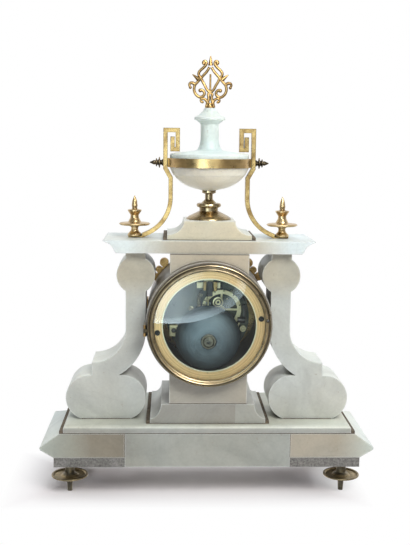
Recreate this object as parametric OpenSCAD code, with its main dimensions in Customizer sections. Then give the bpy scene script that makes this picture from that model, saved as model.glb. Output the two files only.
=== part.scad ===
// Portico clock: alabaster case with brass mounts, round striking movement, glazed doors front and back.
// The dial faces -Y, the rear door faces +Y, and the feet stand on Z = 0.
// "left" and "right" are as seen from the dial. Depths are measured forward from the back of the base.

/* [Base] */
// Width of the base over its edges, before they are softened
base_w = 327.4; // [300:1:360]
// Depth of the end blocks
base_d = 121; // [114:1:135]
// Width of the centre block
center_w = 160; // [150:1:180]
// How far the centre block stands out in front of the end blocks
break_d = 12; // [10:1:24]
// Height of the feet
foot_h = 34; // [28:1:44]
// Height of the plinth strips
plinth_h = 9.4; // [7:0.2:14]
// How far the plinth strips lie inside the edges
plinth_in = 15.5; // [12:0.1:18]
// Height of the undercut below the edges
undercut_h = 9.2; // [7:0.2:13]
// Height of the bevel above the edges
bevel_h = 14.8; // [11:0.2:19]
// Run of the bevel at the ends
bevel_run = 21; // [17:0.1:24]
// Run of the bevel on the front of the end blocks
wing_run = 44; // [36:1:48]
// Run of the bevel on the front of the centre block
center_run = 12; // [8:1:18]
// Thickness of the base plate
plate_h = 7.8; // [6:0.2:12]
// Width of the brass fillets
fillet_w = 3.7; // [2.5:0.1:4.5]
// Height of the brass fillets
fillet_h = 2.9; // [2:0.1:4]
// Distance of the feet from the middle, along the width
foot_x = 136; // [125:1:142]
// Distance of the feet from the front and back edges
foot_in = 28; // [24:1:34]
// Radius of the foot's dished disc
foot_r = 18; // [15:0.5:20]

/* [Pedestal and piers] */
// Width of the pedestal
ped_w = 112; // [104:1:124]
// Height of the pedestal
ped_h = 19.7; // [16:0.1:26]
// Height of the pedestal's plain band
ped_band_h = 5.2; // [4:0.1:8]
// How far the pedestal's cove draws in
ped_cove = 10.6; // [8:0.1:14]
// Distance of the pedestal and the piers from the back
pier_back = 7.4; // [5:0.1:12]
// Width of the piers
pier_w = 75.2; // [68:0.1:84]
// Depth of the piers
pier_d = 85; // [78:1:92]
// Height from the pedestal to the entablature
pier_h = 145.8; // [140:0.1:156]
// Share of the piers' clear height that lies above the drum
drum_share = 0.24; // [0.15:0.01:0.5]

/* [Columns] */
// Gap between the columns and the drum
col_gap = 0.2; // [0.15:0.05:4]
// Width of the shafts
shaft_w = 19.4; // [16:0.1:23]
// How much the shafts widen towards the drum as they sweep out
shaft_flare = 0.3; // [0:0.1:3]
// Depth of the columns
col_d = 46; // [38:1:54]
// Distance of the columns from the back
col_back = 23; // [16:1:30]
// Radius of the upper bulb
bulb_r = 18.5; // [15:0.1:21]
// Depth of the bulb's centre below the entablature
bulb_drop = 22.4; // [18:0.1:26]
// Radius of the hollow of the foot's sweep
sweep_r = 33; // [26:0.5:38]
// Height of the sweep's centre above the base plate
sweep_rise = 89.8; // [80:0.1:100]
// Radius of the rounded foot
col_foot_r = 22; // [18:0.1:25]
// Distance between the centres of the foot's rounded ends
col_foot_len = 33; // [26:0.5:40]
// Distance from the shaft's axis to the foot's inner centre
col_foot_shift = 12.6; // [8:0.1:17]

/* [Entablature and upper pedestal] */
// Width of the entablature
ent_w = 202.4; // [192:0.2:216]
// Height of the entablature
ent_h = 12.2; // [10:0.2:18]
// Depth of the entablature
ent_d = 74.4; // [68:0.2:84]
// Distance of the entablature from the back
ent_back = 12; // [8:0.5:18]
// How far the entablature's moulding draws in
ent_in = 12.4; // [9:0.1:15]
// Width of the upper pedestal
up_w = 81; // [72:1:92]
// Height of the upper pedestal
up_h = 18.4; // [16:0.1:24]
// Height of the upper pedestal's plain band
up_band_h = 5; // [3.5:0.1:8]
// How far the upper pedestal's cove draws in
up_cove = 15.9; // [12:0.1:18]
// Distance of the upper pedestal from the back
up_back = 17.8; // [14:0.1:22]
// Depth of the upper pedestal
up_d = 64; // [58:1:70]

/* [Urn] */
// Depth of the urn's axis
urn_d = 44; // [42:0.5:46]
// Height of the urn's brass foot
urn_foot_h = 28; // [24:0.5:33]
// Radius of the urn's brass foot
urn_foot_r = 22; // [19:0.5:23]
// Radius of the bowl and the lid at their rims
bowl_r = 38.2; // [34:0.1:42]
// Height of the bowl
bowl_h = 26.5; // [22:0.5:32]
// Height of the brass band
band_h = 8.5; // [7:0.1:11]
// Thickness of the brass band
band_t = 2.3; // [1.6:0.1:3]
// Height of the lid
lid_h = 52.4; // [46:0.2:60]
// Radius of the ring near the lid's top
lid_ring_r = 15; // [13:0.5:18]
// Height of the pierced finial
finial_h = 49.7; // [44:0.1:58]
// Thickness of the pierced finial
finial_t = 4; // [3:0.5:6]
// Radius of the tie rod through the urn
rod_r = 2; // [1.5:0.1:2.5]

/* [Handles and corner finials] */
// Thickness of the handles' strip
strip_t = 4.2; // [3:0.1:5]
// Width of the handles' strip
strip_w = 8; // [6:0.5:11]
// Height of the handles' top above the band's foot
key_h = 37.4; // [34:0.1:44]
// Width of the square key at the handles' top
key_w = 16; // [14.5:0.1:18]
// Radius of the handles' sweep down to the entablature
tail_r = 38; // [34:0.5:42]
// Gap between the handles' sloping end and the corner finials' foot
corner_gap = 0.8; // [0.5:0.1:2]
// Height of the corner finials
corner_h = 39; // [34:0.5:46]
// Radius of the corner finials' disc
corner_r = 15.4; // [12:0.1:18]

/* [Drum and doors] */
// Outer radius of the drum
drum_r = 60.2; // [58:0.1:63]
// Wall of the drum
drum_wall = 6; // [5:0.1:6.4]
// Length of the drum
drum_len = 97; // [92:1:104]
// How far the drum stands out behind the base
drum_out = 2; // [0:0.5:5]
// Radius of the hole in the rear and front rings
ring_hole_r = 44; // [42:0.5:46]
// Thickness of the rear and front rings
ring_t = 2; // [1.5:0.1:3]
// How far the rings lie inside the drum's edge
ring_in = 4.3; // [4:0.1:4.6]
// Outer radius of the rear bezel
rear_bezel_r = 58.5; // [57.8:0.1:59]
// Outer radius of the front bezel
front_bezel_r = 59.4; // [58:0.1:60]
// Width of the front bezel's face
front_face_w = 8; // [6:0.1:9]
// Width of the rear bezel's face
rear_face_w = 6.2; // [4:0.1:6.6]
// Distance from the drum's end to the rear glass
rear_seat = 5.2; // [4.8:0.1:6]
// Distance from the drum's end to the front glass
front_seat = 7; // [6.5:0.1:9]
// Thickness of the bezels' faces
face_t = 3; // [2.4:0.1:4]
// Thickness of the glasses
glass_t = 1.6; // [1.2:0.1:2]
// How far the glasses bulge
glass_sag = 7.3; // [5:0.1:9]
// Radius of the hinge knuckles
knuckle_r = 1.5; // [1.3:0.1:1.7]
// Radius of the hinge pins
hinge_pin_r = 0.6; // [0.5:0.05:0.8]
// Distance of the hinges from the level of the drum's axis
hinge_rise = 5; // [0:0.5:9]

/* [Movement] */
// Radius of the movement's plates
mv_r = 41; // [40.5:0.1:43]
// Thickness of the movement's plates
mv_t = 2.2; // [1.8:0.1:2.6]
// Depth of the back plate
back_plate_d = 40; // [39.5:0.1:41]
// Distance between the two plates
mv_gap = 37.8; // [37:0.1:39]
// Radius of the bell
bell_r = 32; // [29:0.5:33]
// Height of the bell
bell_h = 18; // [15:0.5:20]
// Thickness of the bell
bell_t = 1.8; // [1.4:0.1:2.2]
// Depth of the bell's rim
bell_rim_d = 28.3; // [27.5:0.1:28.6]
// How far the bell's centre lies below the drum's axis
bell_drop = 18.5; // [17.5:0.1:19]
// Radius of the pendulum's bob
bob_r = 12; // [9:0.5:13]
// Distance from the pendulum's pivot to the bob's centre
pendulum_len = 64; // [60:0.5:66]
// Radius of the dial
dial_r = 50; // [47:0.5:50.5]
// Thickness of the dial
dial_t = 1.5; // [1:0.1:1.8]
// Length of the minute hand
minute_len = 40; // [34:0.5:43]
// Length of the hour hand
hour_len = 27; // [22:0.5:31]
// Radius of the count wheel
count_r = 19.5; // [17:0.5:20.5]

/* [Clearances] */
// Running clearance of pivots and pins
run_c = 0.05; // [0.02:0.01:0.08]
// Bedding gap of pieces that are set round each other
bed_c = 0.15; // [0.1:0.05:0.3]
// Gap beside pieces that move past each other
side_c = 0.3; // [0.25:0.05:0.5]

/* [Hidden] */
$fn = 96;

alabaster = [0.91, 0.90, 0.86];
grey_stone = [0.62, 0.60, 0.56];
brass = [0.80, 0.62, 0.28];
bronze = [0.35, 0.28, 0.17];
steel = [0.55, 0.56, 0.58];
glass_color = [0.80, 0.88, 0.90, 0.35];
bell_color = [0.25, 0.29, 0.34];
enamel = [0.96, 0.95, 0.92];

// Heights of the stacked pieces
z_plinth = foot_h;
z_under = z_plinth + plinth_h;
z_edge = z_under + undercut_h;
z_base = z_edge + bevel_h;
z_plate = z_base + plate_h;
z_ped = z_plate + ped_h;
z_ent = z_ped + pier_h;
z_drum = z_ent - drum_share * (pier_h - 2 * drum_r) - drum_r;
z_cap = z_ent + ent_h;
z_urn = z_cap + up_h;
z_bowl = z_urn + urn_foot_h;
z_seam = z_bowl + bowl_h;
z_band = z_seam - band_h / 2;
z_finial = z_seam + lid_h;
z_key = z_band + key_h;

// The whole object is centred between the front of the base and the crown of the rear glass
rear_reach = drum_out + rear_seat + glass_sag;
back_y = (base_d + break_d - rear_reach) / 2;
drum_d0 = -drum_out;
drum_d1 = drum_len - drum_out;
ring_r = drum_r - ring_in;
drum_bore_r = drum_r - drum_wall;
front_plate_d = back_plate_d + mv_t + mv_gap;

// Brings a solid drawn with x to the right, y up and z forward to a depth in the frame
module at(d, z = 0) { translate([0, back_y - d, z]) rotate([90, 0, 0]) children(); }

// The same, for pieces of the movement, measured from the drum's axis
module mv(d) { at(d, z_drum) children(); }

// Outward from the drum's rear end, and outward from its front end
module rear_side() { translate([0, back_y - drum_d0, z_drum]) rotate([90, 0, 180]) children(); }
module front_side() { at(drum_d1, z_drum) children(); }

// The same rear end, turned so that the door's hinge lies on the left as seen from behind
module rear_door_side() { rear_side() rotate(180) children(); }

function polar(r, a) = [r * cos(a), r * sin(a)];
function heading(p, q) = atan2(q[1] - p[1], q[0] - p[0]);
function unit(v) = v / norm(v);

// Outlines are drawn as shares of a width or radius and a height
function scaled_outline(shares, w, h) = [for (p = shares) [p[0] * w, p[1] * h]];

// Points of the corner b between a and c, rounded to the radius r
round_steps = 5;
function rounded(a, b, c, r) =
    let (u = unit(a - b), v = unit(c - b), half = acos(u * v) / 2, m = b + unit(u + v) * r / sin(half),
        from = heading(m, b + u * r / tan(half)), to = heading(m, b + v * r / tan(half)),
        sweep = (to - from + 540) % 360 - 180)
    [for (i = [0:round_steps]) m + polar(r, from + sweep * i / round_steps)];

// A block whose ends and front follow a moulding; the moulding is a list of [inset, height] pairs
module moulded_block(w, d0, d, profile, z) {
    half = [for (p = profile) [w / 2 - p[0], p[1]]];
    other = [for (i = [len(profile) - 1:-1:0]) [-w / 2 + profile[i][0], profile[i][1]]];
    front = [for (p = profile) [d - p[0], p[1]]];
    intersection() {
        at(d0, z) linear_extrude(d) polygon(concat(half, other));
        translate([-w, back_y - d0, z]) rotate([90, 0, 90]) mirror([1, 0, 0]) linear_extrude(2 * w)
            polygon(concat(front, [[0, profile[len(profile) - 1][1]], [0, profile[0][1]]]));
    }
}

// Moulding of a plain band with a hollow cove above it
cove_steps = 10;
function cove_profile(band, h, run) = concat([[0, 0]],
    [for (i = [0:cove_steps]) let (a = 90 * i / cove_steps)
        [run * sin(a), band + (h - band) * (1 - cos(a))]]);

// Moulding of the entablature from its foot up: a hollow that swells out to a thin edge
ent_moulding = [[1, 0], [0.91, 0.1], [0.8, 0.34], [0.72, 0.5], [0.6, 0.63], [0.32, 0.8], [0.06, 0.91],
    [0, 0.94], [0, 1]];

// Base

// Softened edge at the distance x, between the undercut and a bevel of the given run
edge_r = 2.4;
function soft_edge(x, run) = rounded([x - plinth_in, z_under], [x, z_edge], [x - run, z_base], edge_r);

// Extrudes an outline of depths and heights along the width, from x0 to x1
module along(x0, x1) {
    translate([x0, back_y, 0]) rotate([90, 0, 90]) mirror([1, 0, 0]) linear_extrude(x1 - x0) children();
}

module base_end(side) {
    inner = center_w / 2;
    outer = base_w / 2;
    ends = concat([[inner, z_under], [outer - plinth_in, z_under]], soft_edge(outer, bevel_run),
        [[outer - bevel_run, z_base], [inner, z_base]]);
    front = concat([[0, z_under], [base_d - plinth_in, z_under]], soft_edge(base_d, wing_run),
        [[base_d - wing_run, z_base], [0, z_base]]);
    color(alabaster) intersection() {
        at(0) linear_extrude(base_d) mirror([side < 0 ? 1 : 0, 0]) polygon(ends);
        along(side > 0 ? inner : -outer, side > 0 ? outer : -inner) polygon(front);
    }
}

module base_block_left() { base_end(-1); }
module base_block_right() { base_end(1); }

module base_center_block() {
    d = base_d + break_d;
    front = concat([[0, z_plinth], [d - plinth_in, z_plinth], [d - plinth_in, z_under]],
        soft_edge(d, center_run), [[d - center_run, z_base], [0, z_base]]);
    color(alabaster) along(-center_w / 2, center_w / 2) polygon(front);
}

module base_plinths() {
    w = base_w / 2 - plinth_in - center_w / 2;
    color(grey_stone) for (side = [-1, 1])
        translate([side > 0 ? center_w / 2 : -center_w / 2 - w, back_y - base_d + plinth_in, z_plinth])
            cube([w, base_d - plinth_in, plinth_h]);
}

// Plan of the base plate, grown by an edge on its ends and front
module plate_plan(edge) {
    end_w = base_w - 2 * bevel_run - 2 * fillet_w + 2 * edge;
    mid_w = center_w - 2 * fillet_w + 2 * edge;
    wing_d = base_d - wing_run - fillet_w + edge;
    mid_d = base_d + break_d - center_run - fillet_w + edge;
    translate([-end_w / 2, back_y - wing_d]) square([end_w, wing_d]);
    translate([-mid_w / 2, back_y - mid_d]) square([mid_w, mid_d]);
}

// The plate's upper edge is rounded at the back and the ends
plate_edge_r = 3.4;
module base_plate() {
    half = base_w / 2 - bevel_run - fillet_w;
    reach = base_d + break_d;
    color(alabaster) intersection() {
        translate([0, 0, z_base]) linear_extrude(plate_h) plate_plan(0);
        along(-base_w, base_w) polygon(concat([[reach, z_base], [reach, z_plate]],
            rounded([reach, z_plate], [0, z_plate], [0, z_base], plate_edge_r), [[0, z_base]]));
        at(0) linear_extrude(reach) polygon(concat([[-half, z_base], [half, z_base]],
            rounded([half, z_base], [half, z_plate], [-half, z_plate], plate_edge_r),
            rounded([half, z_plate], [-half, z_plate], [-half, z_base], plate_edge_r)));
    }
}

module base_fillet() {
    color(brass) translate([0, 0, z_base]) linear_extrude(fillet_h) difference() {
        plate_plan(fillet_w);
        plate_plan(0);
    }
}

foot_peg_r = 2.5;
foot_peg_h = 13;
foot_dome_h = 2.4;
foot_rim_h = 1.7;
foot_dish_h = 1.1;
foot_neck_r = 4.8;
foot_collar_h = 4;
foot_collar_r = 8.5;
module foot() {
    rim_z = foot_peg_h + foot_dome_h;
    top_z = rim_z + foot_rim_h;
    rotate_extrude() polygon([[0, 0], [foot_peg_r, 0], [foot_peg_r * 1.3, foot_peg_h],
        [foot_r * 0.6, foot_peg_h + foot_dome_h * 0.3], [foot_r * 0.95, rim_z],
        [foot_r, rim_z + foot_rim_h * 0.3], [foot_r, rim_z + foot_rim_h * 0.8], [foot_r * 0.98, top_z],
        [foot_r * 0.9, top_z],
        [foot_r * 0.84, top_z - foot_dish_h], [foot_neck_r * 1.9, top_z - foot_dish_h],
        [foot_neck_r * 1.2, top_z + foot_dish_h], [foot_neck_r, top_z + 2 * foot_dish_h],
        [foot_neck_r, foot_h - foot_collar_h * 1.5], [foot_collar_r, foot_h - foot_collar_h],
        [foot_collar_r, foot_h], [0, foot_h]]);
}

module feet() {
    color(bronze) for (x = [-foot_x, foot_x], d = [foot_in, base_d - foot_in])
        translate([x, back_y - d, 0]) foot();
}

// Pedestal, piers and columns

ped_ledge = 2;
ped_d = pier_d + ped_cove + ped_ledge;
module pedestal() {
    profile = cove_profile(ped_band_h, ped_h, ped_cove);
    color(alabaster) moulded_block(ped_w, pier_back, ped_d, profile, z_plate);
}

// Brass strip round the foot of a block that is flat at the back
module block_fillet(w, d0, d, z) {
    color(brass) translate([0, 0, z]) linear_extrude(fillet_h) difference() {
        translate([-w / 2 - fillet_w, back_y - d0 - d - fillet_w]) square([w + 2 * fillet_w, d + fillet_w]);
        translate([-w / 2, back_y - d0 - d]) square([w, d + 1]);
    }
}

module pedestal_fillet() { block_fillet(ped_w, pier_back, ped_d, z_plate); }

module pier_block(z0, z1) {
    color(alabaster) difference() {
        translate([-pier_w / 2, back_y - pier_back - pier_d, z0]) cube([pier_w, pier_d, z1 - z0]);
        at(drum_d0 - 1, z_drum) cylinder(r = drum_r + bed_c, h = drum_len + 2);
    }
}

module lower_pier() { pier_block(z_ped, z_drum); }
module upper_pier() { pier_block(z_drum, z_ent); }

col_x = drum_r + col_gap + shaft_flare + shaft_w / 2;
col_foot_flat = 0.6;

// Outline of the right-hand column: a rounded foot, a shaft that sweeps out over it, a bulb and a neck
module column_outline() {
    foot_z = z_plate + col_foot_r;
    foot_x0 = col_x + col_foot_shift;
    sweep = [col_x + shaft_w / 2 + sweep_r, z_plate + sweep_rise];
    bulb_z = z_ent - bulb_drop;
    sweep_out = sweep_r + shaft_w + shaft_flare;
    intersection() {
        union() {
            translate([foot_x0, foot_z - col_foot_flat]) circle(col_foot_r + col_foot_flat);
            translate([foot_x0 + col_foot_len, foot_z - col_foot_flat]) circle(col_foot_r + col_foot_flat);
            translate([foot_x0, z_plate]) square([col_foot_len, 2 * col_foot_r]);
        }
        translate([0, z_plate]) square([base_w, 3 * col_foot_r]);
    }
    intersection() {
        translate(sweep) difference() {
            circle(sweep_out);
            circle(sweep_r);
        }
        translate([sweep[0] - sweep_out, z_plate + col_foot_r])
            square([sweep_out, sweep[1] - z_plate - col_foot_r]);
    }
    translate([col_x - shaft_w / 2, sweep[1]]) square([shaft_w, bulb_z - sweep[1]]);
    translate([col_x, bulb_z]) circle(bulb_r);
    translate([col_x - shaft_w / 2, bulb_z]) square([shaft_w, bulb_drop]);
}

module column_right() { color(alabaster) at(col_back) linear_extrude(col_d) column_outline(); }
module column_left() { mirror([1, 0, 0]) column_right(); }

// Entablature and upper pedestal

module rod_hole(z0, z1) { translate([0, back_y - urn_d, z0]) cylinder(r = rod_r + run_c, h = z1 - z0); }

module entablature() {
    color(alabaster) difference() {
        moulded_block(ent_w, ent_back, ent_d, scaled_outline(ent_moulding, ent_in, ent_h), z_ent);
        rod_hole(z_ent - 1, z_cap + 1);
        for (x = [-corner_x, corner_x]) translate([x, back_y - urn_d, z_cap + tab_t - corner_stud_h - run_c])
            cylinder(r = corner_stud_r + run_c, h = corner_stud_h);
    }
}

module upper_pedestal() {
    color(alabaster) difference() {
        moulded_block(up_w, up_back, up_d, cove_profile(up_band_h, up_h, up_cove), z_cap);
        rod_hole(z_cap - 1, z_urn + 1);
    }
}

module upper_fillet() { block_fillet(up_w, up_back, up_d, z_cap); }

// Urn, turned about its axis

module on_urn(z) { translate([0, back_y - urn_d, z]) children(); }

bowl_foot_r = 6.8;
module urn_foot() {
    h = urn_foot_h;
    r = urn_foot_r;
    knop = [for (i = [-2:2]) [0.48 + 0.065 * cos(i * 45), 0.484 + 0.07 * sin(i * 45)]];
    base = [[1, 0], [0.982, 0.036], [0.873, 0.107], [0.618, 0.207], [0.414, 0.286], [0.414, 0.393]];
    neck = [[0.332, 0.564], [0.173, 0.689], [0.173, 0.864]];
    color(brass) on_urn(z_urn) rotate_extrude() polygon(concat([[rod_r + run_c, 0]],
        scaled_outline(concat(base, knop, neck), r, h),
        [[bowl_foot_r, h * 0.914], [bowl_foot_r, h], [rod_r + run_c, h]]));
}

// A round cup below a slanting rim, which stands a little proud of the cup
bowl_arris = 0.9;
rim_drop = 7.5;
rim_share = 0.915;
cup_share = 0.955;
cup_steps = 10;
module urn_bowl() {
    deep = bowl_h - band_h / 2;
    wide = bowl_r * cup_share;
    from = asin(bowl_foot_r / wide);
    to = acos(rim_drop / deep);
    turns = [for (i = [1:cup_steps]) from + (to - from) * i / cup_steps];
    cup = [for (a = turns) [wide * sin(a), deep * (1 - cos(a))]];
    color(alabaster) on_urn(z_bowl) rotate_extrude() polygon(concat([[rod_r + run_c, 0], [bowl_foot_r, 0]], cup,
        [[bowl_r * rim_share, deep - rim_drop], [bowl_r, deep - bowl_arris], [bowl_r, bowl_h],
        [rod_r + run_c, bowl_h]]));
}

nut_r = 1.5;
module urn_band() {
    color(brass) difference() {
        on_urn(z_band) rotate_extrude() polygon([[bowl_r + bed_c, 0], [bowl_r + band_t, 0],
            [bowl_r + band_t, band_h], [bowl_r + bed_c, band_h]]);
        on_urn(z_seam) rotate([0, 90, 0]) cylinder(r = nut_r + run_c, h = 3 * bowl_r, center = true);
    }
}

lid_neck_r = 8.8;
lid_ledge = 4.4;
lid_rise = 3.3;
lid_neck_h = 13;
lid_cap_h = 15.5;
module urn_lid() {
    rim = band_h / 2 + lid_ledge;
    cap = [[0.59, -1], [0.81, -0.8], [1, -0.72], [1, -0.555], [0.75, -0.44], [0.46, -0.19]];
    color(alabaster) on_urn(z_seam) rotate_extrude() polygon(concat([[rod_r + run_c, 0], [bowl_r, 0],
        [bowl_r, rim - bowl_arris], [bowl_r - bowl_arris, rim], [bowl_r * 0.72, rim + lid_rise * 0.45]],
        [for (i = [0:8]) let (a = 90 * i / 8) [lid_neck_r + (bowl_r * 0.36 - lid_neck_r) * (1 - sin(a)),
            rim + lid_rise + lid_neck_h * (1 - cos(a))]],
        [for (p = scaled_outline(cap, lid_ring_r, lid_cap_h)) [p[0], lid_h + p[1]]],
        [[finial_foot_r, lid_h], [rod_r + run_c, lid_h]]));
}

rod_end = 4;
module urn_rod() {
    color(steel) translate([0, back_y - urn_d, z_ent]) cylinder(r = rod_r, h = z_finial + rod_end - z_ent);
}

// A stroke of even width that follows an arc
module arc_stroke(c, r, a0, a1, w) {
    steps = 14;
    angles = [for (i = [0:steps]) a0 + (a1 - a0) * i / steps];
    polygon(concat([for (a = angles) c + (r + w / 2) * [cos(a), sin(a)]],
        [for (i = [steps:-1:0]) c + (r - w / 2) * [cos(angles[i]), sin(angles[i])]]));
}

// A straight stroke with square ends
module line_stroke(p, q, w) {
    n = [p[1] - q[1], q[0] - p[0]] / norm(q - p) * w / 2;
    polygon([p + n, q + n, q - n, p - n]);
}

// One side of the pierced finial, drawn 50 high: a scroll that crosses a stem and curls in, leaves and a
// volute at the top
module finial_side() {
    stroke = 1.9;
    line_stroke([0.4, 39.2], [13.8, 21.6], stroke);
    arc_stroke([9.3, 17], 6.4, -112, 46, stroke);
    arc_stroke([8.3, 13.8], 3, 55, 255, stroke);
    translate([9.6, 16.6]) circle(1.8);
    line_stroke([0, 13.6], [8.9, 28.6], stroke);
    arc_stroke([6, 32.7], 5.3, -58, 88, stroke);
    line_stroke([6.4, 37.6], [5.4, 41.4], stroke);
    translate([5.2, 42.2]) circle(2.4);
    translate([17.6, 21]) circle(2.9);
    polygon([[8.4, 29], [17, 31.8], [12.8, 23.4]]);
    line_stroke([3.4, 0.8], [1.2, 9.8], stroke);
    line_stroke([1.2, 9.2], [0.8, 14.6], stroke);
    line_stroke([2.2, 5], [6.6, 7.2], stroke);
    translate([7, 7]) circle(2);
}

module finial_outline() {
    finial_side();
    mirror([1, 0]) finial_side();
    translate([-0.7, 12.8]) square([1.4, 19.6]);
    translate([-1.5, 37.4]) square([3, 8.6]);
    polygon([[-2.1, 45.4], [2.1, 45.4], [0, 50]]);
    translate([-4.6, 0]) square([9.2, 2.4]);
}

finial_foot_r = 5.4;
finial_foot_h = 6;
module urn_finial() {
    color(brass) on_urn(z_finial) difference() {
        union() {
            translate([0, finial_t / 2, 0]) rotate([90, 0, 0]) linear_extrude(finial_t)
                scale(finial_h / 50) finial_outline();
            cylinder(r1 = finial_foot_r, r2 = finial_foot_r * 0.63, h = finial_foot_h);
        }
        translate([0, 0, -1]) cylinder(r = rod_r + run_c, h = rod_end + 1 + run_c);
    }
}

// Handles: a strip folded into a square key at the top, bolted to the band, sweeping out to the corner finial

handle_x = bowl_r + band_t + run_c + strip_t / 2;
crank_in = 0.8;
crank_rise = 11.8;
crank_drop = 0.3 * strip_t;
crank_at = [bowl_r - crank_in, z_bowl + crank_rise];
tail_end = 246;
slope_len = 5;
tail_at = [crank_at[0] + tail_r, z_cap + strip_t / 2 - slope_len * cos(tail_end) - tail_r * sin(tail_end)];
slope_at = tail_at + tail_r * [cos(tail_end), sin(tail_end)];
flat_at = slope_at + slope_len * [-sin(tail_end), cos(tail_end)];
corner_foot_r = 7;
corner_x = flat_at[0] + corner_gap + corner_foot_r;
tab_t = 1.6;
tab_past = 6;
fold_h = 18.3;
fold_gap = 0.8;
fold_short = 4;
inner_x = handle_x + strip_t - key_w;
fold_x = inner_x + strip_t + fold_gap;
fold_z = z_key - fold_h - strip_t / 2;
tail_steps = 16;
handle_path = concat([[fold_x, z_key - strip_t - fold_short], [fold_x, fold_z], [inner_x, fold_z],
    [inner_x, z_key - strip_t / 2], [handle_x, z_key - strip_t / 2], [handle_x, z_band - crank_drop], crank_at],
    [for (i = [0:tail_steps]) tail_at + polar(tail_r, 180 + (tail_end - 180) * i / tail_steps)],
    [flat_at, [corner_x - corner_foot_r - bed_c, flat_at[1]]]);

// Points beside a path at the distance w, to its left when w is positive
function turned(v) = [-v[1], v[0]];
function beside(path, w) = [for (i = [0:len(path) - 1])
    let (last = len(path) - 1, before = unit(path[max(i, 1)] - path[max(i, 1) - 1]),
        after = unit(path[min(i, last - 1) + 1] - path[min(i, last - 1)]),
        n = unit(turned(before) + turned(after)))
    path[i] + n * w / (n * turned(after))];

module handle_outline() {
    upper = beside(handle_path, strip_t / 2);
    lower = beside(handle_path, -strip_t / 2);
    tab_x = corner_x + tab_past;
    tab = [[corner_x - corner_foot_r - bed_c, z_cap + tab_t], [tab_x, z_cap + tab_t], [tab_x, z_cap]];
    polygon(concat(upper, tab, [for (i = [len(lower) - 1:-1:0]) lower[i]]));
}

module handle_right() {
    color(brass) difference() {
        at(urn_d - strip_w / 2) linear_extrude(strip_w) handle_outline();
        on_urn(z_seam) rotate([0, 90, 0]) cylinder(r = nut_r + run_c, h = 3 * bowl_r);
        translate([corner_x, back_y - urn_d, z_cap - 1]) cylinder(r = corner_stud_r + run_c, h = tab_t + 2);
    }
}

module handle_left() { mirror([1, 0, 0]) handle_right(); }

nut_disc_r = 5.2;
nut_len = 13;
module handle_nuts() {
    seat = bowl_r + band_t + run_c + strip_t;
    shank = strip_t + band_t;
    spike = [[0.65, 0], [0.58, 0.09], [0.42, 0.14], [0.46, 0.2], [1, 0.25], [1, 0.31], [0.5, 0.37],
        [0.46, 0.43], [0.77, 0.48], [0.77, 0.53], [0.38, 0.58], [0.44, 0.69], [0.08, 1], [0, 1]];
    color(bronze) for (side = [0, 1]) mirror([side, 0, 0]) on_urn(z_seam) translate([seat, 0, 0])
        rotate([0, 90, 0]) rotate_extrude() polygon(concat([[0, -shank], [nut_r, -shank], [nut_r, 0]],
            scaled_outline(spike, nut_disc_r, nut_len)));
}

corner_stud_r = 1.5;
corner_stud_h = 6;
module corner_finial() {
    shaft = [[0.4, 0.062], [0.27, 0.113], [0.22, 0.17], [0.235, 0.215], [0.31, 0.23], [0.31, 0.251],
        [0.91, 0.267], [1, 0.297], [0.92, 0.323], [0.41, 0.345], [0.37, 0.38], [0.27, 0.45], [0.26, 0.518],
        [0.35, 0.57], [0.435, 0.62], [0.435, 0.646], [0.195, 0.667], [0.16, 0.687], [0.19, 0.75], [0.15, 0.87],
        [0.02, 1], [0, 1]];
    rotate_extrude() polygon(concat([[0, -corner_stud_h], [corner_stud_r, -corner_stud_h], [corner_stud_r, 0],
        [corner_foot_r, 0], [corner_foot_r, corner_h * 0.031]], scaled_outline(shaft, corner_r, corner_h)));
}

module corner_finials() {
    color(brass) for (x = [-corner_x, corner_x]) translate([x, 0, 0]) on_urn(z_cap + tab_t) corner_finial();
}

// Drum, its rings, straps, scroll mounts and glazed doors

module drum() {
    color(alabaster) mv(drum_d0) linear_extrude(drum_len) difference() {
        circle(drum_r);
        circle(drum_bore_r);
    }
}

scroll_w = 6;
scroll_d = 6;
scroll_t = 2.4;
scroll_gap = 1.2;
volute_r = [4.6, 3.4, 4.2];
module drum_scrolls() {
    seat = drum_r + bed_c;
    top = acos((pier_w / 2 + scroll_gap + volute_r[0]) / (seat + volute_r[0]));
    turns = [top, top - 8, top - 16];
    color(brass) for (side = [0, 1]) mirror([side, 0, 0]) mv(drum_d1 - scroll_d - scroll_w)
        linear_extrude(scroll_w) {
            arc_stroke([0, 0], seat + scroll_t / 2, top - 19, top + 1.6, scroll_t);
            for (i = [0:2]) translate(polar(seat + volute_r[i], turns[i])) circle(volute_r[i]);
        }
}

strap_tilt = 8;
strap_t = 2;
strap_w = 9;
strap_in = 4.8;
strap_at_r = drum_bore_r - strap_in;
screw_r = 1.2;
screw_len = 6;
boss_r = 2.4;
boss_len = 8;
module ring_plan() {
    difference() {
        circle(ring_r);
        circle(ring_hole_r);
    }
}

// Places the children at both straps, seen from behind
module at_straps() {
    for (a = [strap_tilt, 180 + strap_tilt]) rotate(a) translate([strap_at_r, 0, 0]) children();
}

module rear_ring() {
    color(brass) rear_side() linear_extrude(ring_t) difference() {
        ring_plan();
        at_straps() circle(screw_r + run_c);
    }
}

module front_ring() { color(brass) front_side() linear_extrude(ring_t) ring_plan(); }

// Two bars inside the drum, fixed to the front ring; their rear ends are tapped for the screws that draw the
// rear ring in
module straps() {
    color(brass) rear_side() at_straps() difference() {
        union() {
            translate([-strap_t / 2, -strap_w / 2, -drum_len]) cube([strap_t, strap_w, drum_len]);
            translate([0, 0, -boss_len]) cylinder(r = boss_r, h = boss_len);
        }
        translate([0, 0, -screw_len - 1]) cylinder(r = screw_r + run_c, h = screw_len + 2);
    }
}

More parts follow.
